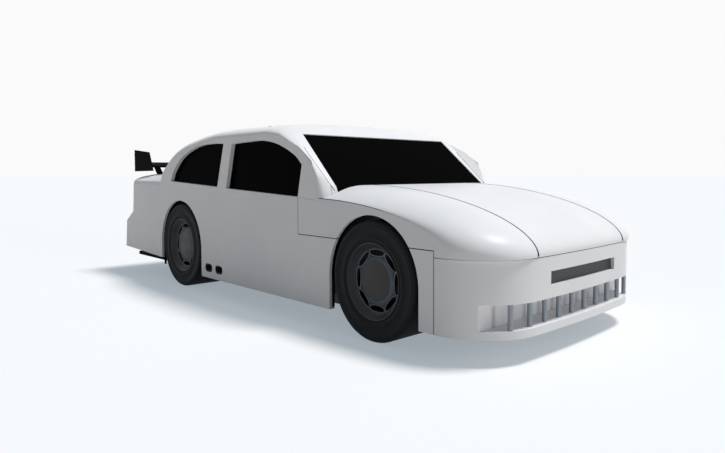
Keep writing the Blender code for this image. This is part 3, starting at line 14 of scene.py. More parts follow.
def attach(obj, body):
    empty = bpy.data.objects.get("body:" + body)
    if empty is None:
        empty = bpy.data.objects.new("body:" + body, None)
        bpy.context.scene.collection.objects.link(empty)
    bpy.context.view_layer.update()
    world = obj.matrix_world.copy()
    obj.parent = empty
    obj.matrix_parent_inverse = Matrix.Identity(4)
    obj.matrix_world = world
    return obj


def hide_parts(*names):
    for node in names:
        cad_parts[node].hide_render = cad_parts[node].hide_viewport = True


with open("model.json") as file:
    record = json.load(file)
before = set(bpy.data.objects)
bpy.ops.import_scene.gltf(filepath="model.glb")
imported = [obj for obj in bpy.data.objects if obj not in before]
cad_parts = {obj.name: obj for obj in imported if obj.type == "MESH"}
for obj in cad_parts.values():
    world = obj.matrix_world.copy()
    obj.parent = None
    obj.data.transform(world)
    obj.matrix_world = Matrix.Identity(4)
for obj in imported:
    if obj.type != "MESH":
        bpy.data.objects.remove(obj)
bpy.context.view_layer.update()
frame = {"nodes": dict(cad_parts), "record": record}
SCENE = bpy.context.scene

FRONT_AXLE_X = 1.5925
WHEELBASE = 2.794
HALF_WIDTH = 0.96
AXLE_Z = 0.40
MILLIMETRE = 0.001
SIDES = (("right", -1), ("left", 1))


def at(ahead):
    """X of a distance ahead of the front axle."""
    return FRONT_AXLE_X + ahead


# Materials

def linear(hex_code):
    """An sRGB hex colour as the linear RGBA that a shader reads."""
    parts = [int(hex_code[i:i + 2], 16) / 255 for i in (0, 2, 4)]
    return tuple(p / 12.92 if p <= 0.04045 else ((p + 0.055) / 1.055) ** 2.4 for p in parts) + (1.0,)


def put(tree, kind, settings=None, **links):
    """Add one node: settings are its own properties or unlinked sockets, links are output sockets.

    A link is named for its input, or by the input's number after an underscore."""
    node = tree.nodes.new(kind)
    for key, value in (settings or {}).items():
        if isinstance(key, int) or key in node.inputs:
            node.inputs[key].default_value = value
        else:
            setattr(node, key, value)
    for key, source in links.items():
        socket = int(key[1:]) if key[1:].isdigit() else key
        tree.links.new(source, node.inputs[socket])
    return node


def start(name, colour, **sockets):
    """A named material with its shader's plain sockets set, and its Object coordinates."""
    made = bpy.data.materials.new(name)
    made.use_nodes = True
    tree = made.node_tree
    shader = tree.nodes["Principled BSDF"]
    shader.inputs["Base Color"].default_value = linear(colour)
    for key, value in sockets.items():
        shader.inputs[key.replace("_", " ")].default_value = value
    place = put(tree, "ShaderNodeTexCoord").outputs["Object"]
    return made, tree, shader, place


def colour_between(tree, factor, low, high):
    """A colour that runs between two hex colours with a factor."""
    settings = {"data_type": "RGBA", 6: linear(low), 7: linear(high)}
    return put(tree, "ShaderNodeMix", settings, _0=factor).outputs[2]


def spread(tree, value, low, high, start_at=0.0, end_at=1.0):
    """A value moved from one range to another, clamped."""
    return put(tree, "ShaderNodeMapRange", {1: start_at, 2: end_at, 3: low, 4: high}, _0=value).outputs[0]


def noise(tree, place, feature_mm, detail=3.0, roughness=0.55):
    """Noise whose features are about this many millimetres across."""
    settings = {"Scale": 1 / (feature_mm * MILLIMETRE), "Detail": detail, "Roughness": roughness}
    return put(tree, "ShaderNodeTexNoise", settings, Vector=place).outputs["Fac"]


def bump(tree, shader, height, depth_mm, strength):
    """Relief of a depth in millimetres on the shader's normal."""
    settings = {"Distance": depth_mm * MILLIMETRE, "Strength": strength}
    made = put(tree, "ShaderNodeBump", settings, Height=height)
    tree.links.new(made.outputs["Normal"], shader.inputs["Normal"])


def body_paint(name, colour, shade):
    """Two-pack enamel, sprayed and baked: an even white with faint orange peel under a clear gloss coat."""
    made, tree, shader, place = start(name, colour, Roughness=0.45, IOR=1.5, Specular_IOR_Level=0.15,
                                      Coat_Weight=0.04, Coat_Roughness=0.2, Coat_IOR=1.5)
    cloud = noise(tree, place, 420, 2)
    tree.links.new(colour_between(tree, spread(tree, cloud, 0, 1, 0.35, 0.65), colour, shade),
                   shader.inputs["Base Color"])
    tree.links.new(spread(tree, noise(tree, place, 60), 0.34, 0.42), shader.inputs["Roughness"])
    bump(tree, shader, noise(tree, place, 4.0, 1), 0.02, 0.35)
    return made


def window_sheet(name):
    """Polycarbonate sheet, vacuum formed and painted black behind: deep black with a soft clear gloss."""
    made, tree, shader, place = start(name, "010101", Roughness=0.3, IOR=1.58, Specular_IOR_Level=0.0,
                                      Coat_Weight=0.03, Coat_Roughness=0.25)
    smear = noise(tree, place, 130, 3)
    tree.links.new(spread(tree, smear, 0.26, 0.36, 0.3, 0.7), shader.inputs["Roughness"])
    bump(tree, shader, noise(tree, place, 90, 1), 0.05, 0.3)
    return made


def moulded_black(name, colour, grain_mm, rough):
    """Glass-filled plastic or rubber, moulded: matt black with a fine leather-like grain."""
    made, tree, shader, place = start(name, colour, Roughness=rough, IOR=1.46, Specular_IOR_Level=0.03)
    grain = put(tree, "ShaderNodeTexVoronoi", {"Scale": 1 / (grain_mm * MILLIMETRE)}, Vector=place)
    tree.links.new(spread(tree, noise(tree, place, 45), rough - 0.06, rough + 0.08),
                   shader.inputs["Roughness"])
    bump(tree, shader, grain.outputs["Distance"], 0.12, 0.2)
    return made


def chassis_coat(name):
    """Powder coat on welded steel tube: satin black with fine orange peel and dust on the flats."""
    made, tree, shader, place = start(name, "1F2023", Roughness=0.5, IOR=1.5)
    dust = spread(tree, noise(tree, place, 160, 4), 0, 1, 0.45, 0.75)
    tree.links.new(colour_between(tree, dust, "1B1C1F", "34342F"), shader.inputs["Base Color"])
    tree.links.new(spread(tree, dust, 0.45, 0.7), shader.inputs["Roughness"])
    bump(tree, shader, noise(tree, place, 6, 1), 0.08, 0.4)
    return made


def cast_metal(name):
    """Grey iron, sand cast and painted: rough grey with a coarse sand skin and oil-darkened hollows."""
    made, tree, shader, place = start(name, "56585B", Roughness=0.55, Metallic=0.6)
    oil = spread(tree, noise(tree, place, 120, 4), 0, 1, 0.35, 0.7)
    tree.links.new(colour_between(tree, oil, "3A3B3C", "66686B"), shader.inputs["Base Color"])
    tree.links.new(spread(tree, oil, 0.42, 0.7), shader.inputs["Roughness"])
    bump(tree, shader, noise(tree, place, 5, 3), 0.35, 0.5)
    return made


def coated_exhaust(name):
    """Mild steel tube with a heat-proof black coat, sprayed: dull black with faint brown near the heat."""
    made, tree, shader, place = start(name, "141312", Roughness=0.6, Metallic=0.3)
    heat = spread(tree, noise(tree, place, 200, 3), 0, 1, 0.4, 0.7)
    tree.links.new(colour_between(tree, heat, "100F0F", "2C241D"), shader.inputs["Base Color"])
    bump(tree, shader, noise(tree, place, 3, 2), 0.1, 0.4)
    return made


def anodised_bar(name):
    """Aluminium bar, drawn and anodised: satin blue-grey with fine lengthwise drawing lines."""
    made, tree, shader, place = start(name, "8C939B", Roughness=0.45, Metallic=0.35)
    long_way = put(tree, "ShaderNodeMapping", {"Scale": (1, 1, 0.05)}, Vector=place).outputs[0]
    lines = noise(tree, long_way, 2.0, 2)
    tree.links.new(colour_between(tree, lines, "7C848C", "9AA1A8"), shader.inputs["Base Color"])
    tree.links.new(spread(tree, lines, 0.38, 0.52), shader.inputs["Roughness"])
    bump(tree, shader, lines, 0.05, 0.4)
    return made


def tyre_rubber(name):
    """Carbon-black racing rubber, moulded and scrubbed: near black, dull, with fine scuff marks."""
    made, tree, shader, place = start(name, "1C2022", Roughness=0.82, IOR=1.52, Specular_IOR_Level=0.15)
    scuff = spread(tree, noise(tree, place, 35, 5, 0.65), 0, 1, 0.4, 0.75)
    tree.links.new(colour_between(tree, scuff, "16191C", "1F2326"), shader.inputs["Base Color"])
    tree.links.new(spread(tree, scuff, 0.74, 0.9), shader.inputs["Roughness"])
    bump(tree, shader, noise(tree, place, 2.5, 2), 0.25, 0.5)
    return made


def wheel_coat(name, low, high):
    """Pressed steel wheel, powder coated: satin grey with fine peel and brake dust."""
    made, tree, shader, place = start(name, low, Roughness=0.42, IOR=1.5, Specular_IOR_Level=0.25)
    dust = spread(tree, noise(tree, place, 60, 4), 0, 1, 0.35, 0.7)
    tree.links.new(colour_between(tree, dust, low, high), shader.inputs["Base Color"])
    tree.links.new(spread(tree, dust, 0.36, 0.56), shader.inputs["Roughness"])
    bump(tree, shader, noise(tree, place, 4, 1), 0.05, 0.4)
    return made


def steel_mesh(name):
    """Woven steel wire, coated grey: crossed wires 6 mm apart, drawn by their height and their shade."""
    made, tree, shader, place = start(name, "3A3A3A", Roughness=0.5, Metallic=0.2)
    parts = put(tree, "ShaderNodeSeparateXYZ", Vector=place)
    wires_per_metre = 2 * math.pi / (6 * MILLIMETRE)
    waves = []
    for axis in ("Y", "Z"):
        turn = put(tree, "ShaderNodeMath", {"operation": "MULTIPLY", 1: wires_per_metre},
                   _0=parts.outputs[axis])
        waves.append(put(tree, "ShaderNodeMath", {"operation": "SINE"}, _0=turn.outputs[0]).outputs[0])
    wire = put(tree, "ShaderNodeMath", {"operation": "MAXIMUM"}, _0=waves[0], _1=waves[1]).outputs[0]
    tree.links.new(colour_between(tree, spread(tree, wire, 0, 1, 0.2, 0.9), "2A2A2A", "404040"),
                   shader.inputs["Base Color"])
    bump(tree, shader, wire, 0.8, 0.4)
    return made


FINISH = {
    "body_white": body_paint("sprayed_enamel_white", "EDEDEE", "E8E9EB"),
    "black_glass": window_sheet("formed_polycarbonate_black"),
    "black_plastic": moulded_black("moulded_plastic_black", "060607", 3.0, 0.75),
    "dark_grey": steel_mesh("woven_wire_grey"),
    "chassis_black": chassis_coat("powder_coated_steel_black"),
    "cast_iron": cast_metal("sand_cast_iron_grey"),
    "exhaust_steel": coated_exhaust("coated_exhaust_steel"),
    "tyre_rubber": tyre_rubber("moulded_rubber_black"),
    "wheel_grey": wheel_coat("powder_coated_wheel_grey", "23282B", "2B3033"),
}
WHITE = FINISH["body_white"]
# Dark blue-black rubber bars in the panel gaps, slits and creases: their dark colour is painted shade,
# standing for the shade that falls in those gaps and creases.
SHADE_LINE = moulded_black("rubber_bar_painted_gap_shade", "1C2631", 2.0, 0.7)
# The slot beads' light blue-grey, far lighter than the wheel's own grey, is a painted highlight along the
# slots' edges.
SLOT_EDGE_HIGHLIGHT = wheel_coat("rolled_edge_wheel_grey", "8893A0", "98A2AD")
# The hub's side cone is a lighter grey than its face: a painted highlight, a lit copy of the hub's own coat.
HUB_SIDE_HIGHLIGHT = wheel_coat("hub_side_painted_highlight_grey", "56606B", "616B76")
HUB_COAT = wheel_coat("cast_hub_grey", "2B2A28", "33322F")
POST_COAT = anodised_bar("anodised_aluminium_grey")

SLOT_OF = {row["node"]: row["material_slot"] for row in frame["record"]["subparts"]}
for name, piece in frame["nodes"].items():
    piece.data.materials.clear()
    piece.data.materials.append(FINISH[SLOT_OF[name]])


# Camera, floor and light

CAMERA_PLACE = (4.4756, -3.4841, 1.1165)
CAMERA_YAW = math.radians(133.8415)
CAMERA_PITCH = math.radians(2.5492)
FOCAL_PIXELS = 593.078
PRINCIPAL_POINT = (421.46, 197.77)
PHOTO = (725, 453)
SENSOR_MM = 36.0
FLOOR_HALF = 200.0
FLOOR_CARD, FLOOR_GLOW = "D4D0CC", "969FA6"
STUDIO_LIGHT, STUDIO_WHITE = "5B646D", "FAFAFA"
SUN_WIDTH = math.radians(15)

lens = bpy.data.cameras.new("camera")
lens.sensor_width = SENSOR_MM
lens.lens = FOCAL_PIXELS / PHOTO[0] * SENSOR_MM
lens.shift_x = (PHOTO[0] / 2 - PRINCIPAL_POINT[0]) / PHOTO[0]
lens.shift_y = (PRINCIPAL_POINT[1] - PHOTO[1] / 2) / PHOTO[0]
lens.clip_end = FLOOR_HALF
camera = bpy.data.objects.new("camera", lens)
SCENE.collection.objects.link(camera)
towards = Vector((math.cos(CAMERA_PITCH) * math.cos(CAMERA_YAW),
                  math.cos(CAMERA_PITCH) * math.sin(CAMERA_YAW), -math.sin(CAMERA_PITCH)))
camera.location = CAMERA_PLACE
camera.rotation_euler = towards.to_track_quat("-Z", "Y").to_euler()
SCENE.camera = camera


def seen_ray(tree):
    """One for rays that see the background straight, in gloss or through glass, and nought for the rest."""
    rays = put(tree, "ShaderNodeLightPath")
    seen = rays.outputs["Is Camera Ray"]
    for ray in ("Is Glossy Ray", "Is Transmission Ray"):
        seen = put(tree, "ShaderNodeMath", {"operation": "MAXIMUM"}, _0=seen, _1=rays.outputs[ray]).outputs[0]
    return seen


def floor_plane():
    """A flat square as four corners. Part of its white is its own, so its shadow stays pale."""
    corners = [(x * FLOOR_HALF, y * FLOOR_HALF, 0) for x, y in ((-1, -1), (1, -1), (1, 1), (-1, 1))]
    mesh = bpy.data.meshes.new("floor")
    mesh.from_pydata(corners, [], [(0, 1, 2, 3)])
    piece = bpy.data.objects.new("floor", mesh)
    SCENE.collection.objects.link(piece)
    made, tree, shader, _ = start("floor_card", FLOOR_CARD, Roughness=1.0, Specular_IOR_Level=0.0)
    shader.inputs["Emission Color"].default_value = linear(FLOOR_GLOW)
    tree.links.new(seen_ray(tree), shader.inputs["Emission Strength"])
    mesh.materials.append(made)


def sun(name, from_way, strength):
    """A sun lamp whose light comes from a way, as a vector."""
    data = bpy.data.lights.new(name, "SUN")
    data.energy = strength
    data.angle = SUN_WIDTH
    piece = bpy.data.objects.new(name, data)
    SCENE.collection.objects.link(piece)
    piece.rotation_euler = Vector(from_way).to_track_quat("Z", "Y").to_euler()


floor_plane()
sun("key_light", (0.24, 0.28, 0.93), 2.80)
sun("front_fill", (1.0, 0.1, 0.03), 0.75)

world = bpy.data.worlds.new("studio")
SCENE.world = world
world.use_nodes = True
studio = world.node_tree
studio.links.new(colour_between(studio, seen_ray(studio), STUDIO_LIGHT, STUDIO_WHITE),
                 studio.nodes["Background"].inputs["Color"])
SCENE.view_settings.view_transform = "Standard"


# Making meshes and pieces

DOUBLES = 0.02 * MILLIMETRE
SLIVER = 0.01 * MILLIMETRE
SAME_PLANE = math.radians(0.6)
EASE_POWER = 1.8


def quads_between(index):
    """The quads between neighbouring rows and columns of a grid of corner numbers."""
    return np.stack([index[:-1, :-1], index[1:, :-1], index[1:, 1:], index[:-1, 1:]], -1).reshape(-1, 4)


def numbered(rows, columns):
    """Corner numbers of a grid, row by row."""
    return np.arange(rows * columns).reshape(rows, columns)


def ends_of(total, count):
    """Two faces: the first count corners of a total, and the last."""
    return [np.arange(count)[None, :], np.arange(total - count, total)[None, :]]


def mesh_of(name, points, faces):
    """A mesh from an array of points and a list of arrays of corner numbers."""
    mesh = bpy.data.meshes.new(name)
    mesh.from_pydata(points.reshape(-1, 3).tolist(), [], [face for rows in faces for face in rows.tolist()])
    return mesh


def outwards(mesh, merge=False):
    """The mesh with all its faces turned outwards, and first its doubles merged if asked."""
    work = bmesh.new()
    work.from_mesh(mesh)
    if merge:
        bmesh.ops.remove_doubles(work, verts=work.verts, dist=DOUBLES)
        bmesh.ops.dissolve_degenerate(work, edges=work.edges, dist=SLIVER)
    bmesh.ops.recalc_face_normals(work, faces=work.faces)
    work.to_mesh(mesh)
    work.free()
    return mesh


def dressed(name, mesh, finish, body, sharp, stands_for):
    """A piece from a mesh: merged, turned outwards, smooth but for edges past an angle in degrees."""
    outwards(mesh, merge=True)
    mesh.shade_smooth()
    mesh.set_sharp_from_angle(angle=math.radians(sharp))
    mesh.materials.clear()
    mesh.materials.append(finish)
    made = bpy.data.objects.new(name, mesh)
    SCENE.collection.objects.link(made)
    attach(made, body)
    if stands_for:
        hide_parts(*stands_for)
    return made


def piece_of(name, points, faces, finish, body, sharp=35, stands_for=(), slot=None):
    """A piece from points and faces."""
    return dressed(name, mesh_of(name, points, faces), finish, body, sharp, stands_for)


def cut_from(mesh, cutters):
    """The mesh with each cutter, a mesh or a pair of points and faces, taken out of it."""
    held = bpy.data.objects.new("held", outwards(mesh))
    SCENE.collection.objects.link(held)
    for cutter in cutters:
        blade = cutter if isinstance(cutter, bpy.types.Mesh) else mesh_of("knife", *cutter)
        knife = bpy.data.objects.new("knife", outwards(blade))
        SCENE.collection.objects.link(knife)
        step = held.modifiers.new("cut", "BOOLEAN")
        step.operation, step.solver, step.object = "DIFFERENCE", "EXACT", knife
        done = bpy.data.meshes.new_from_object(held.evaluated_get(bpy.context.evaluated_depsgraph_get()))
        held.modifiers.clear()
        held.data = done
        bpy.data.objects.remove(knife)
    bpy.data.objects.remove(held)
    return done


def merged_copy(node, sharp, width_mm=0.0, cutters=()):
    """A CAD node's own shape: loose triangles merged, flat faces joined and, if asked, edges rounded."""
    mesh = frame["nodes"][node].data.copy()
    work = bmesh.new()
    work.from_mesh(mesh)
    bmesh.ops.remove_doubles(work, verts=work.verts, dist=DOUBLES)
    bmesh.ops.dissolve_limit(work, angle_limit=SAME_PLANE, verts=work.verts, edges=work.edges)
    work.to_mesh(mesh)
    work.free()
    old_normals = mesh.attributes.get("custom_normal")
    if old_normals:
        mesh.attributes.remove(old_normals)
    if cutters:
        mesh = cut_from(mesh, cutters)
    bodies = frame["record"]["behaviour"]["bodies"]
    body = next(name for name, members in bodies.items() if node in members)
    made = dressed(node + "_skin", mesh, FINISH[SLOT_OF[node]], body, sharp, [node])
    if width_mm:
        rounding = made.modifiers.new("rounded edges", "BEVEL")
        rounding.width = width_mm * MILLIMETRE
        rounding.segments = 2
        rounding.limit_method = "ANGLE"
        rounding.angle_limit = math.radians(sharp)


# Shapes

def closed_panel(outer, inner):
    """Two grids of one shape, the inner one turned over, joined by quads round their rim."""
    rows, columns = outer.shape[:2]
    size = rows * columns
    index = numbered(rows, columns)
    rim = np.concatenate([index[0, :], index[1:, -1], index[-1, -2::-1], index[-2:0:-1, 0]])
    after = np.roll(rim, -1)
    faces = quads_between(index)
    edge = np.stack([rim, after, after + size, rim + size], 1)
    return np.concatenate([outer.reshape(-1, 3), inner.reshape(-1, 3)]), [faces, faces[:, ::-1] + size, edge]


def both(*parts):
    """Several (points, faces) pairs as one."""
    points, faces, first = [], [], 0
    for some_points, some_faces in parts:
        points.append(np.asarray(some_points).reshape(-1, 3))
        faces += [rows + first for rows in some_faces]
        first += len(points[-1])
    return np.concatenate(points), faces


def ring_grid(rings, closed_along=False):
    """Closed rings of points, (along, round, 3), joined in quads, the last to the first if asked."""
    index = numbered(*rings.shape[:2])
    index = np.concatenate([index, index[:, :1]], 1)
    if closed_along:
        index = np.concatenate([index, index[:1]], 0)
    return rings.reshape(-1, 3), [quads_between(index)]


def lathe(profile, ahead, side, segments):
    """A closed profile of (radius, y) turned about the wheel's axis.

    X and Z are the radius times the turn's sine and cosine."""
    turn = (2 * np.pi * (np.arange(segments) + 0.5) / segments)[:, None]
    radius, along = np.asarray(profile).T[:, None, :]
    rings = np.stack(np.broadcast_arrays(at(ahead) + radius * np.sin(turn), side * along,
                                         AXLE_Z - radius * np.cos(turn)), -1)
    return ring_grid(rings, True)


def tube(path, radius, sides, closed=False, up=(0, 1, 0)):
    """A round bar along a path: each ring is a circle that stands across the path's direction."""
    path = np.asarray(path, float)
    along = np.roll(path, -1, 0) - np.roll(path, 1, 0) if closed else np.gradient(path, axis=0)
    along /= np.linalg.norm(along, axis=1)[:, None]
    across = np.cross(along, np.asarray(up, float))
    across /= np.linalg.norm(across, axis=1)[:, None]
    raised = np.cross(across, along)
    turn = 2 * np.pi * (np.arange(sides) + 0.5) / sides
    rings = path[:, None] + radius * (np.cos(turn)[None, :, None] * across[:, None]
                                      + np.sin(turn)[None, :, None] * raised[:, None])
    points, faces = ring_grid(rings, closed)
    return points, faces if closed else faces + ends_of(len(points), sides)


def line(start_at, end_at, count=2):
    """Evenly spaced points from one place to another."""
    share = np.linspace(0, 1, count)[:, None]
    return np.asarray(start_at) * (1 - share) + np.asarray(end_at) * share


def crown(share, power):
    """A superellipse's height, 1 at the middle and 0 at a share of 1 either way: 1 less the share to a
    power, and all of that to one over the power."""
    return (1 - np.clip(np.abs(share), 0, 1) ** power) ** (1 / power)


def eased(count):
    """Shares from 0 to 1 that crowd towards 1: 1 less what is left of an even share, to a power."""
    return 1 - (1 - np.linspace(0, 1, count)) ** EASE_POWER


def smooth_run(points, count=12):
    """A curve through a run of points: between two of them, the cubic set by the two and their neighbours."""
    points = np.asarray(points, float)
    padded = np.concatenate([2 * points[:1] - points[1:2], points, 2 * points[-1:] - points[-2:-1]])
    before, left, right, after = (padded[k:len(padded) - 3 + k, None] for k in range(4))
    t = np.linspace(0, 1, count, endpoint=False)[None, :, None]
    run = 0.5 * (2 * left + (right - before) * t + (2 * before - 5 * left + 4 * right - after) * t ** 2
                 + (3 * left - before - 3 * right + after) * t ** 3)
    return np.concatenate([run.reshape(-1, points.shape[1]), points[-1:]])


def grown(outline, distance):
    """A closed outline moved outwards by a distance, each corner along the middle of its two normals."""
    forward = np.roll(outline, -1, 0) - outline
    forward /= np.linalg.norm(forward, axis=1)[:, None]
    normal = np.stack([forward[:, 1], -forward[:, 0]], 1)
    middle = np.roll(normal, 1, 0) + normal
    middle /= np.sum(middle * normal, axis=1)[:, None]
    return outline + distance * middle


def standing(outline, y):
    """An outline of (ahead, z) as points on an upright plane at a y."""
    return np.stack([at(outline[:, 0]), np.full(len(outline), y), outline[:, 1]], -1)


def plate(outline, low, high):
    """A flat plate: an outline of (ahead, z) carried from one y to another and capped."""
    points, faces = ring_grid(np.stack([standing(outline, y) for y in (low, high)]))
    return points, faces + ends_of(len(points), len(outline))


def box_outline(rear, front, low, high):
    """A rectangle's corners as (ahead, z)."""
    return np.array([(rear, low), (front, low), (front, high), (rear, high)])


def slope_block(base, head, base_pairs, head_pairs, reach):
    """A block on a window's sloping plane: its base and head rings are given as pairs of half width and
    height over the plane, and each is moved past its end by the reach."""
    base, head = np.array(base), np.array(head)
    along = (head - base) / np.linalg.norm(head - base)
    normal = np.array([along[1], -along[0]])
    normal = normal * np.sign(normal[1])
    rings = []
    for point, pairs, step in ((base, base_pairs, -reach), (head, head_pairs, reach)):
        pairs = np.concatenate([np.array(pairs), np.array(pairs)[::-1] * (-1, 1)])
        place = point + step * along + pairs[:, 1:] * normal
        rings.append(np.stack([at(place[:, 0]), pairs[:, 0], place[:, 1]], -1))
    points, faces = ring_grid(np.stack(rings))
    return points, faces + ends_of(len(points), len(rings[0]))


# Body sizes, the same as the part's: places ahead of the front axle, half widths and heights
HOOD_REAR, ROOF_FRONT, DOOR_SEAM, ROOF_REAR = -0.45, -0.567, -0.811, -3.240
HOOD_HALF, CREST_HALF = 0.5413, 0.62
COWL_Z, CREASE_REAR_Z, CREASE_FRONT_Z, NOSE_TOP_Z, SEAM_Z = 1.015, 0.921, 0.66, 0.612, 0.65
NOSE_FLAT, NOSE_BOW, CAP_RADIUS, NOSE_RADIUS = 1.0, 0.015, 0.40, 0.44
NOSE_SEAM = NOSE_FLAT - NOSE_RADIUS
DOOR_SEAM_TOP_Z, TAB_REAR_Z, TAB_FRONT_Z, STRIP_FOOT_Z = 0.925, 0.9235, 0.9095, 0.159
ARCH = 0.434
# Powers of the curves: down the hood's slope, over the shoulder outside and inside, and across the roof
SLOPE_POWER, SHOULDER_POWER, INNER_POWER, ROOF_POWER = 1.85, 2.2, 1.5, 2.5
# Gaps between panels, and the panels' walls
HOOD_GAP, GAP, LIP_GAP, ROOF_CLEARANCE = 0.0055, 0.006, 0.004, 0.0008
HOOD_WALL, FENDER_WALL, FENDER_EDGE_WALL, SIDE_WALL, ROOF_WALL, LIP = 0.03, 0.028, 0.02, 0.022, 0.045, 0.012
# The rounded edge beside the hood's gap: steps in from it, and how far the surface is down at each
EDGE_IN, EDGE_FALL = np.array([0.0, 0.0006, 0.0018, 0.0036]), np.array([0.0060, 0.0030, 0.0010, 0.0])
CAP_ROWS = 72

# The roof's side line: shares of its length, its rise and its crown
ROOF_LINE_SHARES = [(0, 0, 1.65), (.003, .323, .40), (.029, .562, .05), (.086, .768, .15), (.184, .956, .66),
                    (.248, .994, .86), (.353, .986, .96), (.475, .982, 1), (.568, .974, 1),
                    (.666, .905, 1.16), (.784, .792, 1.33), (.847, .702, 1.37), (.901, .591, 1.45),
                    (.941, .474, 1.5), (.970, .349, 1.55), (1, .131, 1.55)]
ROOF_LENGTH, ROOF_BASE_Z, ROOF_RISE, ROOF_CROWN = 2.671, 0.911, 0.504, 0.124
ROOF_KNOTS = (np.array([ROOF_FRONT, ROOF_BASE_Z, 0])
              + np.asarray(ROOF_LINE_SHARES) * np.array([-ROOF_LENGTH, ROOF_RISE, ROOF_CROWN]))
# Both sloping windows: (ahead, z) of each plane's base and head, and the planes' half widths and heights
SHIELD = (-0.4675, 0.9777), (-0.969, 1.407)
BACKLIGHT = (-3.2201, 1.0900), (-2.6199, 1.4600)
PILLAR_HALF, WIDE, HIGH = 0.88, 0.99, 0.96
FLARED = [(PILLAR_HALF, 0), (0.9637, 0.0513), (WIDE, 0.068), (WIDE, HIGH)]


# Hood and front fenders

def nose_reach(side, corner, depth=0.0):
    """How far ahead the nose reaches: a shallow parabola between two quarter circles."""
    centre = HALF_WIDTH - corner
    past = np.clip(np.abs(side) - centre, 0, corner)
    return (NOSE_FLAT - corner + np.sqrt(np.maximum(corner ** 2 - past ** 2, 0))
            + NOSE_BOW * (1 - np.minimum(np.abs(side) / centre, 1) ** 2) - depth)


def roof_foot(side):
    """How far ahead the roof's foot reaches: its front line moved out by the roof's crown there."""
    return ROOF_FRONT + ROOF_CROWN * ROOF_LINE_SHARES[0][2] * crown(side / HALF_WIDTH, ROOF_POWER)


def cap_point(slope, side, depth=0.0):
    """The hood and fender surface at shares down its slope and places across the car.

    Down the slope the height falls as a superellipse. Across it the shoulder falls as 1 less its share to
    a power, so it meets the flat side in a clear crease. The inner face, at a depth, falls there as a
    superellipse, as the part's does."""
    share = np.clip((np.abs(side) - CREST_HALF) / (HALF_WIDTH - CREST_HALF), 0, 1)
    blend = crown(share, INNER_POWER) if depth else 1 - share ** SHOULDER_POWER
    rear = np.minimum(HOOD_REAR, roof_foot(side) + ROOF_CLEARANCE)
    top = CREASE_REAR_Z + (COWL_Z - CREASE_REAR_Z) * blend - depth
    low = NOSE_TOP_Z + LIP_GAP + LIP
    low = low + (CREASE_FRONT_Z - low) * (1 - blend)
    nose = nose_reach(side, CAP_RADIUS, depth)
    height = low + (top - low) * crown(slope, SLOPE_POWER)
    return np.stack(np.broadcast_arrays(at(rear + (nose - rear) * slope), side, height), -1)


def with_lip(grid):
    """The grid with its front row carried straight down, in three steps, to just over the nose's top."""
    rows = [grid]
    for step in (0.25, 0.6, 1.0):
        last = grid[-1:].copy()
        last[:, :, 2] += (NOSE_TOP_Z + LIP_GAP - last[:, :, 2]) * step
        rows.append(last)
    return np.concatenate(rows, 0)


def hood_skin():
    """The cap surface between the hood's two edges, rounded down into the gaps, over an inner face."""
    slope = eased(CAP_ROWS)[:, None]
    half = HOOD_HALF - EDGE_IN
    middle = np.linspace(-half[-1], half[-1], 49)[1:-1]
    sides = np.concatenate([-half, middle, half[::-1]])[None, :]
    outer = cap_point(slope, sides)
    outer[:, :, 2] -= np.concatenate([EDGE_FALL, 0 * middle, EDGE_FALL[::-1]])[None, :]
    inner = cap_point(slope, sides, HOOD_WALL)
    return closed_panel(with_lip(outer), with_lip(inner))


def fender_skin(side):
    """The crowned cap from the hood's gap to the crease, then the flat wall down to the seam or the arch."""
    slope = eased(CAP_ROWS)[:, None]
    inner_edge = HOOD_HALF + HOOD_GAP
    lateral = inner_edge + EDGE_IN[-1] + (HALF_WIDTH - inner_edge - EDGE_IN[-1]) * np.sin(
        np.linspace(0, 1, 42) * np.pi / 2)[1:]
    sides = np.concatenate([inner_edge + EDGE_IN, lateral])[None, :]
    outer = cap_point(slope, sides)
    outer[:, :len(EDGE_FALL), 2] -= EDGE_FALL[None, :]
    inner = cap_point(slope, sides, FENDER_WALL)
    inner[:, :, 1] -= FENDER_EDGE_WALL * (sides - inner_edge) / (HALF_WIDTH - inner_edge)
    cap = closed_panel(with_lip(outer), with_lip(inner))
    crease_ahead = outer[:, -1, 0] - FRONT_AXLE_X
    # The wall's columns stand at the tab under the roof, the crease's points, the arch and the nose seam
    tab = np.linspace(DOOR_SEAM + GAP, ROOF_FRONT - MILLIMETRE / 2, 9)
    arch_end = math.sqrt(ARCH ** 2 - (SEAM_Z + GAP - AXLE_Z) ** 2)
    round_arch = -arch_end * np.cos(np.linspace(0, np.pi, 81))
    before_step = NOSE_SEAM - 0.4 * MILLIMETRE
    ahead = np.concatenate([tab, crease_ahead, round_arch, [before_step, NOSE_SEAM]])
    ahead = np.unique(np.round(ahead, 5))
    top = np.where(ahead < ROOF_FRONT, np.interp(ahead, [DOOR_SEAM, ROOF_FRONT], [TAB_REAR_Z, TAB_FRONT_Z]),
                   np.interp(ahead, crease_ahead, outer[:, -1, 2]))
    arch = AXLE_Z + np.sqrt(np.maximum(ARCH ** 2 - ahead ** 2, 0))
    low = np.maximum(SEAM_Z + GAP, np.where(np.abs(ahead) < arch_end, arch, 0))
    low = np.where(ahead > (before_step + NOSE_SEAM) / 2, NOSE_TOP_Z + LIP_GAP, low)
    share = np.linspace(0, 1, 10)[None, :]
    height = low[:, None] + (top - low)[:, None] * share
    wall = np.stack(np.broadcast_arrays(at(ahead)[:, None], HALF_WIDTH, height), -1)
    points, faces = both(cap, closed_panel(wall, wall - (0, SIDE_WALL, 0)))
    points[:, 1] *= side
    return points, faces


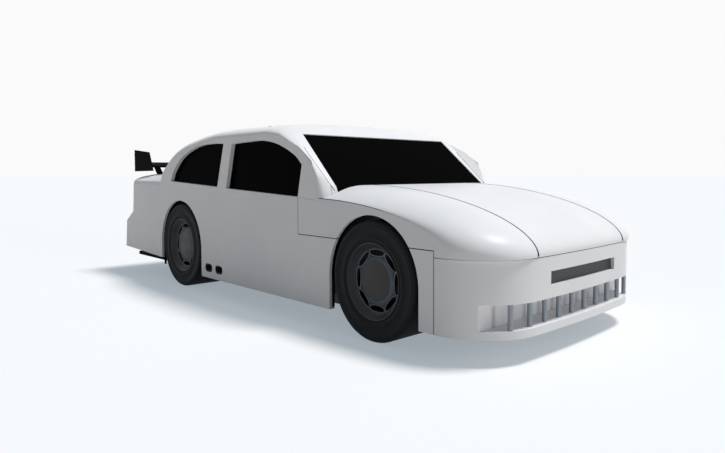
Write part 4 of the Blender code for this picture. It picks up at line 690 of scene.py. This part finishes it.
def lower_fender(side):
    """The flat strip ahead of the wheel: each level runs from the arch's circle to the nose seam."""
    height = np.linspace(STRIP_FOOT_Z, SEAM_Z, 60)[:, None]
    arch = np.sqrt(np.maximum(ARCH ** 2 - np.maximum(height - AXLE_Z, 0) ** 2, 0))
    share = np.linspace(0, 1, 12)[None, :]
    ahead = arch + (NOSE_SEAM - GAP - arch) * share
    outer = np.stack(np.broadcast_arrays(at(ahead), HALF_WIDTH, height), -1)
    points, faces = closed_panel(outer, outer - (0, SIDE_WALL, 0))
    points[:, 1] *= side
    return points, faces


piece_of("hood_skin", *hood_skin(), WHITE, "hood", stands_for=["hood"], slot="body_white")
for name, side in SIDES:
    piece_of("fender_skin_" + name, *fender_skin(side), WHITE, "chassis",
             stands_for=["front_fender_" + name], slot="body_white")
    piece_of("fender_strip_" + name, *lower_fender(side), WHITE, "chassis",
             stands_for=["fender_lower_" + name], slot="body_white")


# Roof, side panels and windows

# Each side window: rear, base, length and height of its box, its straight corners and its curved edge
WINDOWS = {
    "door_window": ((-1.8850, 0.9280, 1.1310, 0.4310), [(0.0, 0.097), (0.95, 0.0)],
                    [(1.0, 0.557), (0.91, 0.729), (0.729, 0.916), (0.538, 1.0), (0.332, 0.998),
                     (0.1, 0.974)]),
    "quarter_window": ((-2.9930, 0.9790, 1.0790, 0.3820), [(0.883, 0.0)],
                       [(1.0, 0.984), (0.764, 1.0), (0.513, 0.937), (0.242, 0.712), (0.063, 0.364),
                        (0.0, 0.105)])}
PANE_INNER, PANE_OUTER = HALF_WIDTH - 0.045, HALF_WIDTH - 0.039
HOLE_PLAY, PANE_LAP, HOLE_MARGIN = MILLIMETRE / 2, MILLIMETRE / 10, 0.01
# The roof's openings: half widths at base and head, and where the block ends under and over the plane
SHIELD_HOLE, BACKLIGHT_HOLE, HOLE_UNDER, HOLE_OVER = (0.844, 0.80), (0.74, 0.68), -0.135, 0.045
# What is cut off the roof: its sill under the rear window, the cowl's place, and all behind its end
BACKLIGHT_SILL, COWL_REAR, COWL_FRONT, STERN_REAR = 0.03, -0.458, 0.1, -4.3
SEAT_FOOT_Z, UNDER_ROOF_Z, OVER_ROOF_Z, PAST_SIDE, INNER_FOOT_DROP = 0.80, 0.81, 1.9, 1.06, 0.1
# The share of the half width past which the roof's smooth side line turns into its straight runs
STRAIGHT_FROM = 0.90


def window_outline(name):
    """A side window's outline as (ahead, z): its corners, then a smooth curve, both as shares of its box."""
    box, corners, curve = WINDOWS[name]
    shares = np.concatenate([np.asarray(corners), smooth_run(curve)])
    return np.asarray(box[:2]) + shares * np.asarray(box[2:])


def roof_body(depth, half_width, foot_drop=0.0):
    """The solid under the roof: a smooth side line moved out along its normal by the crown, less a depth.

    The crown is a superellipse across the car. Near the sides the line turns into the straight runs
    that the side panels end on."""
    smooth = smooth_run(ROOF_KNOTS, 7)
    step = np.linspace(0, len(ROOF_KNOTS) - 1, len(smooth))
    straight = np.stack([np.interp(step, np.arange(len(ROOF_KNOTS)), column) for column in ROOF_KNOTS.T], -1)
    along = np.gradient(smooth[:, :2], axis=0)
    along /= np.linalg.norm(along, axis=1)[:, None]
    shares = np.sin(np.linspace(-1, 1, 61) * np.pi / 2)
    edge = np.clip((np.abs(shares) - STRAIGHT_FROM) / (1 - STRAIGHT_FROM), 0, 1)[None, :, None]
    blended = smooth[:, None] * (1 - edge) + straight[:, None] * edge
    rise = blended[:, :, 2] * crown(shares, ROOF_POWER)[None, :] - depth
    grid = np.stack(np.broadcast_arrays(at(blended[:, :, 0] + along[:, 1:2] * rise), half_width * shares,
                                        blended[:, :, 1] - along[:, 0:1] * rise), -1)
    if foot_drop:
        ends = grid[[0, -1]] - (0, 0, foot_drop)
        grid = np.concatenate([ends[:1], grid, ends[1:]])
    index = numbered(*grid.shape[:2])
    under = np.stack([index[-1, :-1], index[-1, 1:], index[0, 1:], index[0, :-1]], -1)
    return grid.reshape(-1, 3), [quads_between(index), under, index[:, :1].T, index[:, -1:].T]


def opening(base, head, halves):
    """A sloping window's hole: a block of two half widths that goes right through the roof's wall."""
    return slope_block(base, head, *([(half, HOLE_UNDER), (half, HOLE_OVER)] for half in halves), 0)


def roof_skin():
    """The crowned shell: both window planes cut flat, their openings, and its seats on the side panels.

    The last number of each block is how far it reaches past its window's ends."""
    flat, sunk = [(WIDE, 0), (WIDE, HIGH)], [(WIDE, -ROOF_WALL), (WIDE, HIGH)]
    inner = cut_from(mesh_of("inner", *roof_body(ROOF_WALL, HALF_WIDTH - ROOF_WALL, INNER_FOOT_DROP)),
                     [slope_block(*SHIELD, sunk, sunk, 0.4), slope_block(*BACKLIGHT, sunk, sunk, 0.3)])
    backlight_base, backlight_head = np.array(BACKLIGHT)
    slope = backlight_head - backlight_base
    low_edge = backlight_base + BACKLIGHT_SILL * slope / np.linalg.norm(slope)
    under = np.concatenate([ROOF_KNOTS[:, :2], [(ROOF_KNOTS[end, 0], SEAT_FOOT_Z) for end in (-1, 0)]])
    cowl_end = box_outline(COWL_REAR, COWL_FRONT, UNDER_ROOF_Z, COWL_Z)
    stern = box_outline(STERN_REAR, ROOF_REAR, UNDER_ROOF_Z, OVER_ROOF_Z)
    return cut_from(mesh_of("outer", *roof_body(0.0, HALF_WIDTH)), [
        slope_block(*SHIELD, FLARED, FLARED, 0.2), plate(cowl_end, -PILLAR_HALF, PILLAR_HALF),
        slope_block(*BACKLIGHT, flat, flat, 0.3), inner, plate(stern, -PAST_SIDE, PAST_SIDE),
        plate(under, -PAST_SIDE, -(HALF_WIDTH - ROOF_WALL)), plate(under, HALF_WIDTH - ROOF_WALL, PAST_SIDE),
        opening(*SHIELD, SHIELD_HOLE), opening(low_edge, backlight_head, BACKLIGHT_HOLE)])


dressed("roof_skin", roof_skin(), WHITE, "chassis", 32, ["roof_shell"])
for side_name, side in SIDES:
    holes = [plate(grown(window_outline(name), HOLE_PLAY), side * (PANE_INNER - HOLE_MARGIN),
                   side * (HALF_WIDTH + HOLE_MARGIN)) for name in WINDOWS]
    merged_copy("side_panel_" + side_name, 30, cutters=holes + [slope_block(*SHIELD, FLARED, FLARED, 0.2)])
    for name in WINDOWS:
        pane = plate(grown(window_outline(name), PANE_LAP), side * PANE_INNER, side * PANE_OUTER)
        piece_of(name + "_pane_" + side_name, *pane, FINISH["black_glass"], "chassis",
                 stands_for=[name + "_" + side_name], slot="black_glass")

# Nodes that keep their own shape: the angle past which an edge is sharp, and the rounding in millimetres
for node, sharp, width in (("nose_fascia", 12, 0), ("splitter", 25, 0), ("tail_panel", 30, 0),
                           ("deck_lid", 30, 0), ("rear_bumper", 30, 2.0), ("rear_wing", 20, 1.2),
                           ("wing_endplate_right", 30, 1.2), ("wing_endplate_left", 30, 1.2)):
    merged_copy(node, sharp, width)


# Wheels

TYRE_OUTER, TYRE_INNER, TYRE_RADIUS, RIM_RADIUS = 0.955, 0.56, 0.40, 0.257
SHOULDER_Y, SIDEWALL_Y = TYRE_OUTER - 0.034, TYRE_OUTER - 0.0034
SLOT_COUNT, SLOT_RADIUS, SLOT_HALF_WIDTH, SLOT_HALF_LENGTH = 8, 0.185, 0.020, 0.069
# How far a slot's cell of the disc reaches in and out from its middle, and how much larger its bead is
CELL_IN, CELL_OUT = 0.0255, 0.0285
BEAD_WIDER, BEAD_LONGER, BEAD_RADIUS = 1.10, 1.04, 0.0021
DISC_Y, HUB_FACE_Y, HUB_BASE_Y, HUB_BACK_Y = TYRE_OUTER - 0.054, TYRE_OUTER - 0.040, TYRE_OUTER - 0.062, 0.80
DISC_WALL = 0.012


def tyre_section():
    """The tyre's section: flat tread, shoulder arc, and outer sidewall with two raised moulding rings."""
    tread = [(0.3985, TYRE_INNER + 0.035), (TYRE_RADIUS, TYRE_INNER + 0.06), (TYRE_RADIUS, SHOULDER_Y)]
    turn = np.linspace(0, 1, 9)[1:] * np.pi / 2
    shoulder = list(zip(TYRE_RADIUS - 0.020 * (1 - np.cos(turn)), SHOULDER_Y + 0.031 * np.sin(turn)))
    lifts = [(0.370, 0), (0.3685, 0.0016), (0.3625, 0.0016), (0.361, 0), (0.320, -0.0004), (0.292, 0),
             (0.2905, 0.0018), (0.2825, 0.0018), (0.281, 0), (0.268, -0.002), (0.2615, -0.007),
             (0.258, -0.014)]
    rings = [(radius, SIDEWALL_Y + lift) for radius, lift in lifts]
    bead = [(RIM_RADIUS, TYRE_OUTER - 0.022), (RIM_RADIUS, TYRE_INNER + 0.024), (0.262, TYRE_INNER + 0.012),
            (0.30, TYRE_INNER + 0.003), (0.36, TYRE_INNER + 0.006), (0.388, TYRE_INNER + 0.016)]
    return tread + shoulder + rings + bead


def rim_section():
    """The barrel, lip and dish down to the disc's rim, and back behind it."""
    edge = RIM_RADIUS - 0.0004
    return [(0.2135, DISC_Y), (0.2165, DISC_Y + 0.0015), (0.232, TYRE_OUTER - 0.030),
            (0.2465, TYRE_OUTER - 0.010), (0.2490, TYRE_OUTER - 0.0065), (0.2530, TYRE_OUTER - 0.0055),
            (edge, TYRE_OUTER - 0.0075), (edge, TYRE_INNER + 0.02), (0.238, TYRE_INNER + 0.022),
            (0.236, TYRE_INNER + 0.03), (0.236, DISC_Y - 0.03), (0.228, DISC_Y - 0.016),
            (0.2135, DISC_Y - DISC_WALL)]


def hub_section():
    """The hub's drum: a flat face with a rounded edge and a flange to the axle."""
    return [(0.0005, HUB_FACE_Y), (0.1315, HUB_FACE_Y), (0.1345, HUB_FACE_Y - 0.0006),
            (0.1360, HUB_FACE_Y - 0.0025), (0.1360, HUB_FACE_Y - 0.010), (0.10, HUB_BASE_Y - 0.018),
            (0.075, HUB_BACK_Y), (0.0005, HUB_BACK_Y)]


def hub_side_section():
    """The cone from the hub's face down to the disc."""
    return [(0.1362, HUB_FACE_Y - 0.0010), (0.1400, HUB_FACE_Y - 0.0025), (0.1575, DISC_Y - 0.0030),
            (0.1600, DISC_Y + 0.0002), (0.1606, DISC_Y - DISC_WALL), (0.1362, HUB_BASE_Y - 0.014)]


def slot_ring(turn):
    """An oval slot's outline at a turn, as (radial, round the wheel) from the slot's own middle: its cosine
    and sine, each raised to a power under 1 with its sign kept, times the slot's half width and length."""
    c, s = np.cos(turn), np.sin(turn)
    return (SLOT_HALF_WIDTH * np.sign(c) * np.abs(c) ** 0.8,
            SLOT_HALF_LENGTH * np.sign(s) * np.abs(s) ** 0.85)


def slot_cell(angle, ahead, side):
    """One of the disc's cells: rings that run from the slot's oval edge out to the cell's own edge,
    which is a stretch of two circles and two spokes. The oval's wall is then carried inboard."""
    turn = 2 * np.pi * np.arange(48) / 48
    radial, round_way = slot_ring(turn)
    c, s = np.cos(turn), np.sin(turn)
    reach = 1 / np.maximum(np.abs(c), np.abs(s))
    cell_radius = SLOT_RADIUS + np.where(c > 0, CELL_OUT, CELL_IN) * c * reach
    cell_turn = np.pi / SLOT_COUNT * s * reach
    slot_radius = np.hypot(SLOT_RADIUS + radial, round_way)
    slot_turn = np.arctan2(round_way, SLOT_RADIUS + radial)
    share = np.concatenate([[0], np.linspace(0, 1, 7)])[:, None]
    radius = slot_radius + (cell_radius - slot_radius) * share
    turned = angle + slot_turn + (cell_turn - slot_turn) * share
    depth = np.full(radius.shape, DISC_Y)
    depth[0] -= DISC_WALL
    rings = np.stack([at(ahead) + radius * np.cos(turned), side * depth,
                      AXLE_Z + radius * np.sin(turned)], -1)
    return ring_grid(rings)


def slot_bead(angle, ahead, side):
    """A rolled bead round the slot's edge: a thin bar along the oval, made a little larger. Its light
    blue-grey is a painted highlight along the slot's edge.
    """
    radial, round_way = slot_ring(2 * np.pi * np.arange(40) / 40)
    radius, way = SLOT_RADIUS + radial * BEAD_WIDER, round_way * BEAD_LONGER
    x = radius * math.cos(angle) - way * math.sin(angle)
    z = radius * math.sin(angle) + way * math.cos(angle)
    path = np.stack(np.broadcast_arrays(at(ahead) + x, side * (DISC_Y + MILLIMETRE / 2), AXLE_Z + z), -1)
    return tube(path, BEAD_RADIUS, 6, True)


SLOT_ANGLES = [2 * math.pi * number / SLOT_COUNT for number in range(SLOT_COUNT)]
for end, ahead in (("front", 0.0), ("rear", -WHEELBASE)):
    for name, side in SIDES:
        where = end + "_" + name
        body = "wheel_" + where
        piece_of("tyre_cover_" + where, *lathe(tyre_section(), ahead, side, 144), FINISH["tyre_rubber"], body,
                 sharp=50, stands_for=["tyre_" + where], slot="tyre_rubber")
        cells = [slot_cell(angle, ahead, side) for angle in SLOT_ANGLES]
        piece_of("rim_face_" + where, *both(lathe(rim_section(), ahead, side, 128), *cells),
                 FINISH["wheel_grey"], body, sharp=40, stands_for=["rim_" + where], slot="wheel_grey")
        piece_of("hub_" + where, *lathe(hub_section(), ahead, side, 96), HUB_COAT, body, sharp=30,
                 slot="wheel_grey")
        piece_of("hub_side_" + where, *lathe(hub_side_section(), ahead, side, 96), HUB_SIDE_HIGHLIGHT, body, sharp=30,
                 slot="wheel_grey")
        beads = [slot_bead(angle, ahead, side) for angle in SLOT_ANGLES]
        piece_of("slot_bead_highlights_" + where, *both(*beads), SLOT_EDGE_HIGHLIGHT, body, sharp=60, slot="wheel_grey")


# Painted shade lines: dark rubber bars in the panel gaps, slits and creases

# Radii, then how far each painted shade line's middle lies under the skin. The crease's goes inwards and
# upwards
HOOD_SHADE_LINE, NOSE_SHADE_LINE, SIDE_SHADE_LINE = 0.0056, 0.0035, 0.0044
CREASE_SHADE_LINE, ROOF_SHADE_LINE, WINDOW_SHADE_LINE, SHADE_LINE_SIDES = 0.0030, 0.0021, 0.004, 6
HOOD_SHADE_LINE_DEPTH, SIDE_SHADE_LINE_DEPTH, ROOF_SHADE_LINE_DEPTH = 0.0042, 0.0047, 0.0022
CREASE_SHADE_LINE_SHIFT, NOSE_SHADE_LINE_SHARE = (0.0031, 0.0032), 0.9955
SEAM_FOOT_Z, PILLAR_SHADE_LINE_Y, PILLAR_SHADE_LINE_SHARE = 0.160, 0.8795, 0.75


def seam(name, paths, radius, closed=False, up=(0, 1, 0)):
    """Painted shade lines that lie in the panel gaps, slits and creases, just under the skin: dark rubber
    round bars along the paths.
    """
    bars = [tube(path, radius, SHADE_LINE_SIDES, closed, up) for path in paths]
    piece_of(name, *both(*bars), SHADE_LINE, "chassis", sharp=60)


def side_seams(side):
    """The straight seams on a flat side: over both ends of the arch, up the door's edge and up the nose's."""
    y = side * (HALF_WIDTH - SIDE_SHADE_LINE_DEPTH)
    level = SEAM_Z + GAP / 2
    arch_end = math.sqrt(ARCH ** 2 - (SEAM_Z - AXLE_Z) ** 2)
    door, nose = at(DOOR_SEAM + GAP / 2), at(NOSE_SEAM - GAP / 2)
    runs = [((door, level), (at(-arch_end), level)), ((at(arch_end), level), (nose, level)),
            ((door, SEAM_Z), (door, DOOR_SEAM_TOP_Z)), ((nose, SEAM_FOOT_Z), (nose, level))]
    return [line((x, y, z), (end_x, y, end_z)) for (x, z), (end_x, end_z) in runs]


hood_sides = [np.array([[side * (HOOD_HALF + HOOD_GAP / 2)]]) for side in (-1, 1)]
seam("hood_gap_shade_lines", [cap_point(eased(60)[:, None], y)[:, 0] - (0, 0, HOOD_SHADE_LINE_DEPTH) for y in hood_sides],
     HOOD_SHADE_LINE, up=(0, 0, 1))
# The nose's painted shade line is drawn in a little at the sides, so that it stays inside the flat side
around = HALF_WIDTH * np.sin(np.linspace(-1, 1, 121) * np.pi / 2)
nose_line = np.stack(np.broadcast_arrays(at(nose_reach(around, NOSE_RADIUS) - NOSE_SHADE_LINE),
                                         NOSE_SHADE_LINE_SHARE * around, NOSE_TOP_Z + LIP_GAP / 2), -1)
seam("nose_gap_shade_line", [nose_line], NOSE_SHADE_LINE, up=(0, 0, 1))
for name, side in SIDES:
    seam("side_gap_shade_lines_" + name, side_seams(side), SIDE_SHADE_LINE)
    # Along the fender's crease there is no gap: this dark bar is painted shade along the crease.
    crease = cap_point(eased(40)[:, None], np.array([[side * HALF_WIDTH]]))[:, 0]
    shift = (0, side * -CREASE_SHADE_LINE_SHIFT[0], CREASE_SHADE_LINE_SHIFT[1])
    seam("crease_shade_line_" + name, [crease + shift], CREASE_SHADE_LINE)
    roof_edge = standing(ROOF_KNOTS[:, :2], side * (HALF_WIDTH - ROOF_SHADE_LINE_DEPTH))
    # A dark bar up the windshield pillar, on the crease where the roof's flare starts: painted shade along
    # that crease.
    foot, head = standing(np.array(SHIELD), side * PILLAR_SHADE_LINE_Y)
    pillar = line(foot, foot + PILLAR_SHADE_LINE_SHARE * (head - foot), 8)
    seam("roof_and_pillar_shade_lines_" + name, [roof_edge, pillar], ROOF_SHADE_LINE)
    edges = [standing(window_outline(window), side * (PANE_OUTER + WINDOW_SHADE_LINE / 2)) for window in WINDOWS]
    seam("window_gap_shade_lines_" + name, edges, WINDOW_SHADE_LINE, closed=True)


# Arch liners, roof slits and splitter posts

LINER_FOOT_Z, LINER_INNER_Y, LINER_OUTER_Y = 0.165, 0.9155, 0.938
LINER_CLEARANCE, LINER_WALL = 0.0003, 0.002
SLIT_RUN, SLIT_INNER_Y, SLIT_OUTER_Y, SLIT_RADIUS, SLIT_DEPTH = 0.03, 0.725, 0.785, 0.0034, 0.0008
SLIT_PLACES = (-2.30, -1.50)
# The posts stand at even places across the car, set back from the nose's line
POST_COUNT, POST_PITCH, POST_LINE, POST_SETBACK = 10, 0.16, 0.955, 0.02
POST_FOOT_Z, POST_HEAD_Z, POST_RADIUS = 0.2085, 0.3595, 0.0156


def arch_liner(ahead, side):
    """A thin band inside the wheel arch: straight up, round the half circle and straight down again."""
    turn = np.linspace(0, np.pi, 73)
    out = np.stack([np.cos(turn), np.sin(turn)], 1)
    run = np.concatenate([[(ARCH, LINER_FOOT_Z)], (0, AXLE_Z) + ARCH * out, [(-ARCH, LINER_FOOT_Z)]])
    out = np.concatenate([out[:1], out, out[-1:]])
    rings = [standing(run - depth * out + (ahead, 0), side * y)
             for depth, y in ((LINER_CLEARANCE, LINER_INNER_Y), (LINER_CLEARANCE, LINER_OUTER_Y),
                              (LINER_WALL, LINER_OUTER_Y), (LINER_WALL, LINER_INNER_Y))]
    points, faces = ring_grid(np.stack(rings, 1))
    return points, faces + ends_of(len(points), len(rings))


def roof_slit(ahead, side):
    """A short slanting strip let into the roof's shoulder, laid on the skin by looking straight down."""
    skin = bvhtree.BVHTree.FromObject(bpy.data.objects["roof_skin"], bpy.context.evaluated_depsgraph_get())
    run = line((at(ahead - SLIT_RUN), side * SLIT_INNER_Y, OVER_ROOF_Z),
               (at(ahead + SLIT_RUN), side * SLIT_OUTER_Y, OVER_ROOF_Z), 7)
    heights = np.array([skin.ray_cast(Vector(place), Vector((0, 0, -1)))[0].z for place in run])
    return np.concatenate([run[:, :2], heights[:, None] - SLIT_DEPTH], 1)


def splitter_post(number):
    """A round sleeve from the splitter up to the nose, on the nose's line or at most on the posts' own."""
    y = (number - (POST_COUNT - 1) / 2) * POST_PITCH
    x = at(min(float(nose_reach(np.array(y), NOSE_RADIUS, POST_SETBACK)), POST_LINE))
    return tube(line((x, y, POST_FOOT_Z), (x, y, POST_HEAD_Z), 4), POST_RADIUS, 24)


for name, side in SIDES:
    piece_of("arch_liners_" + name, *both(arch_liner(0.0, side), arch_liner(-WHEELBASE, side)),
             FINISH["black_plastic"], "chassis", sharp=40)
for name, side in SIDES:
    seam("roof_slits_" + name, [roof_slit(ahead, side) for ahead in SLIT_PLACES], SLIT_RADIUS, up=(0, 0, 1))
posts = [splitter_post(number) for number in range(POST_COUNT)]
piece_of("post_sleeves", *both(*posts), POST_COAT, "chassis", sharp=40)
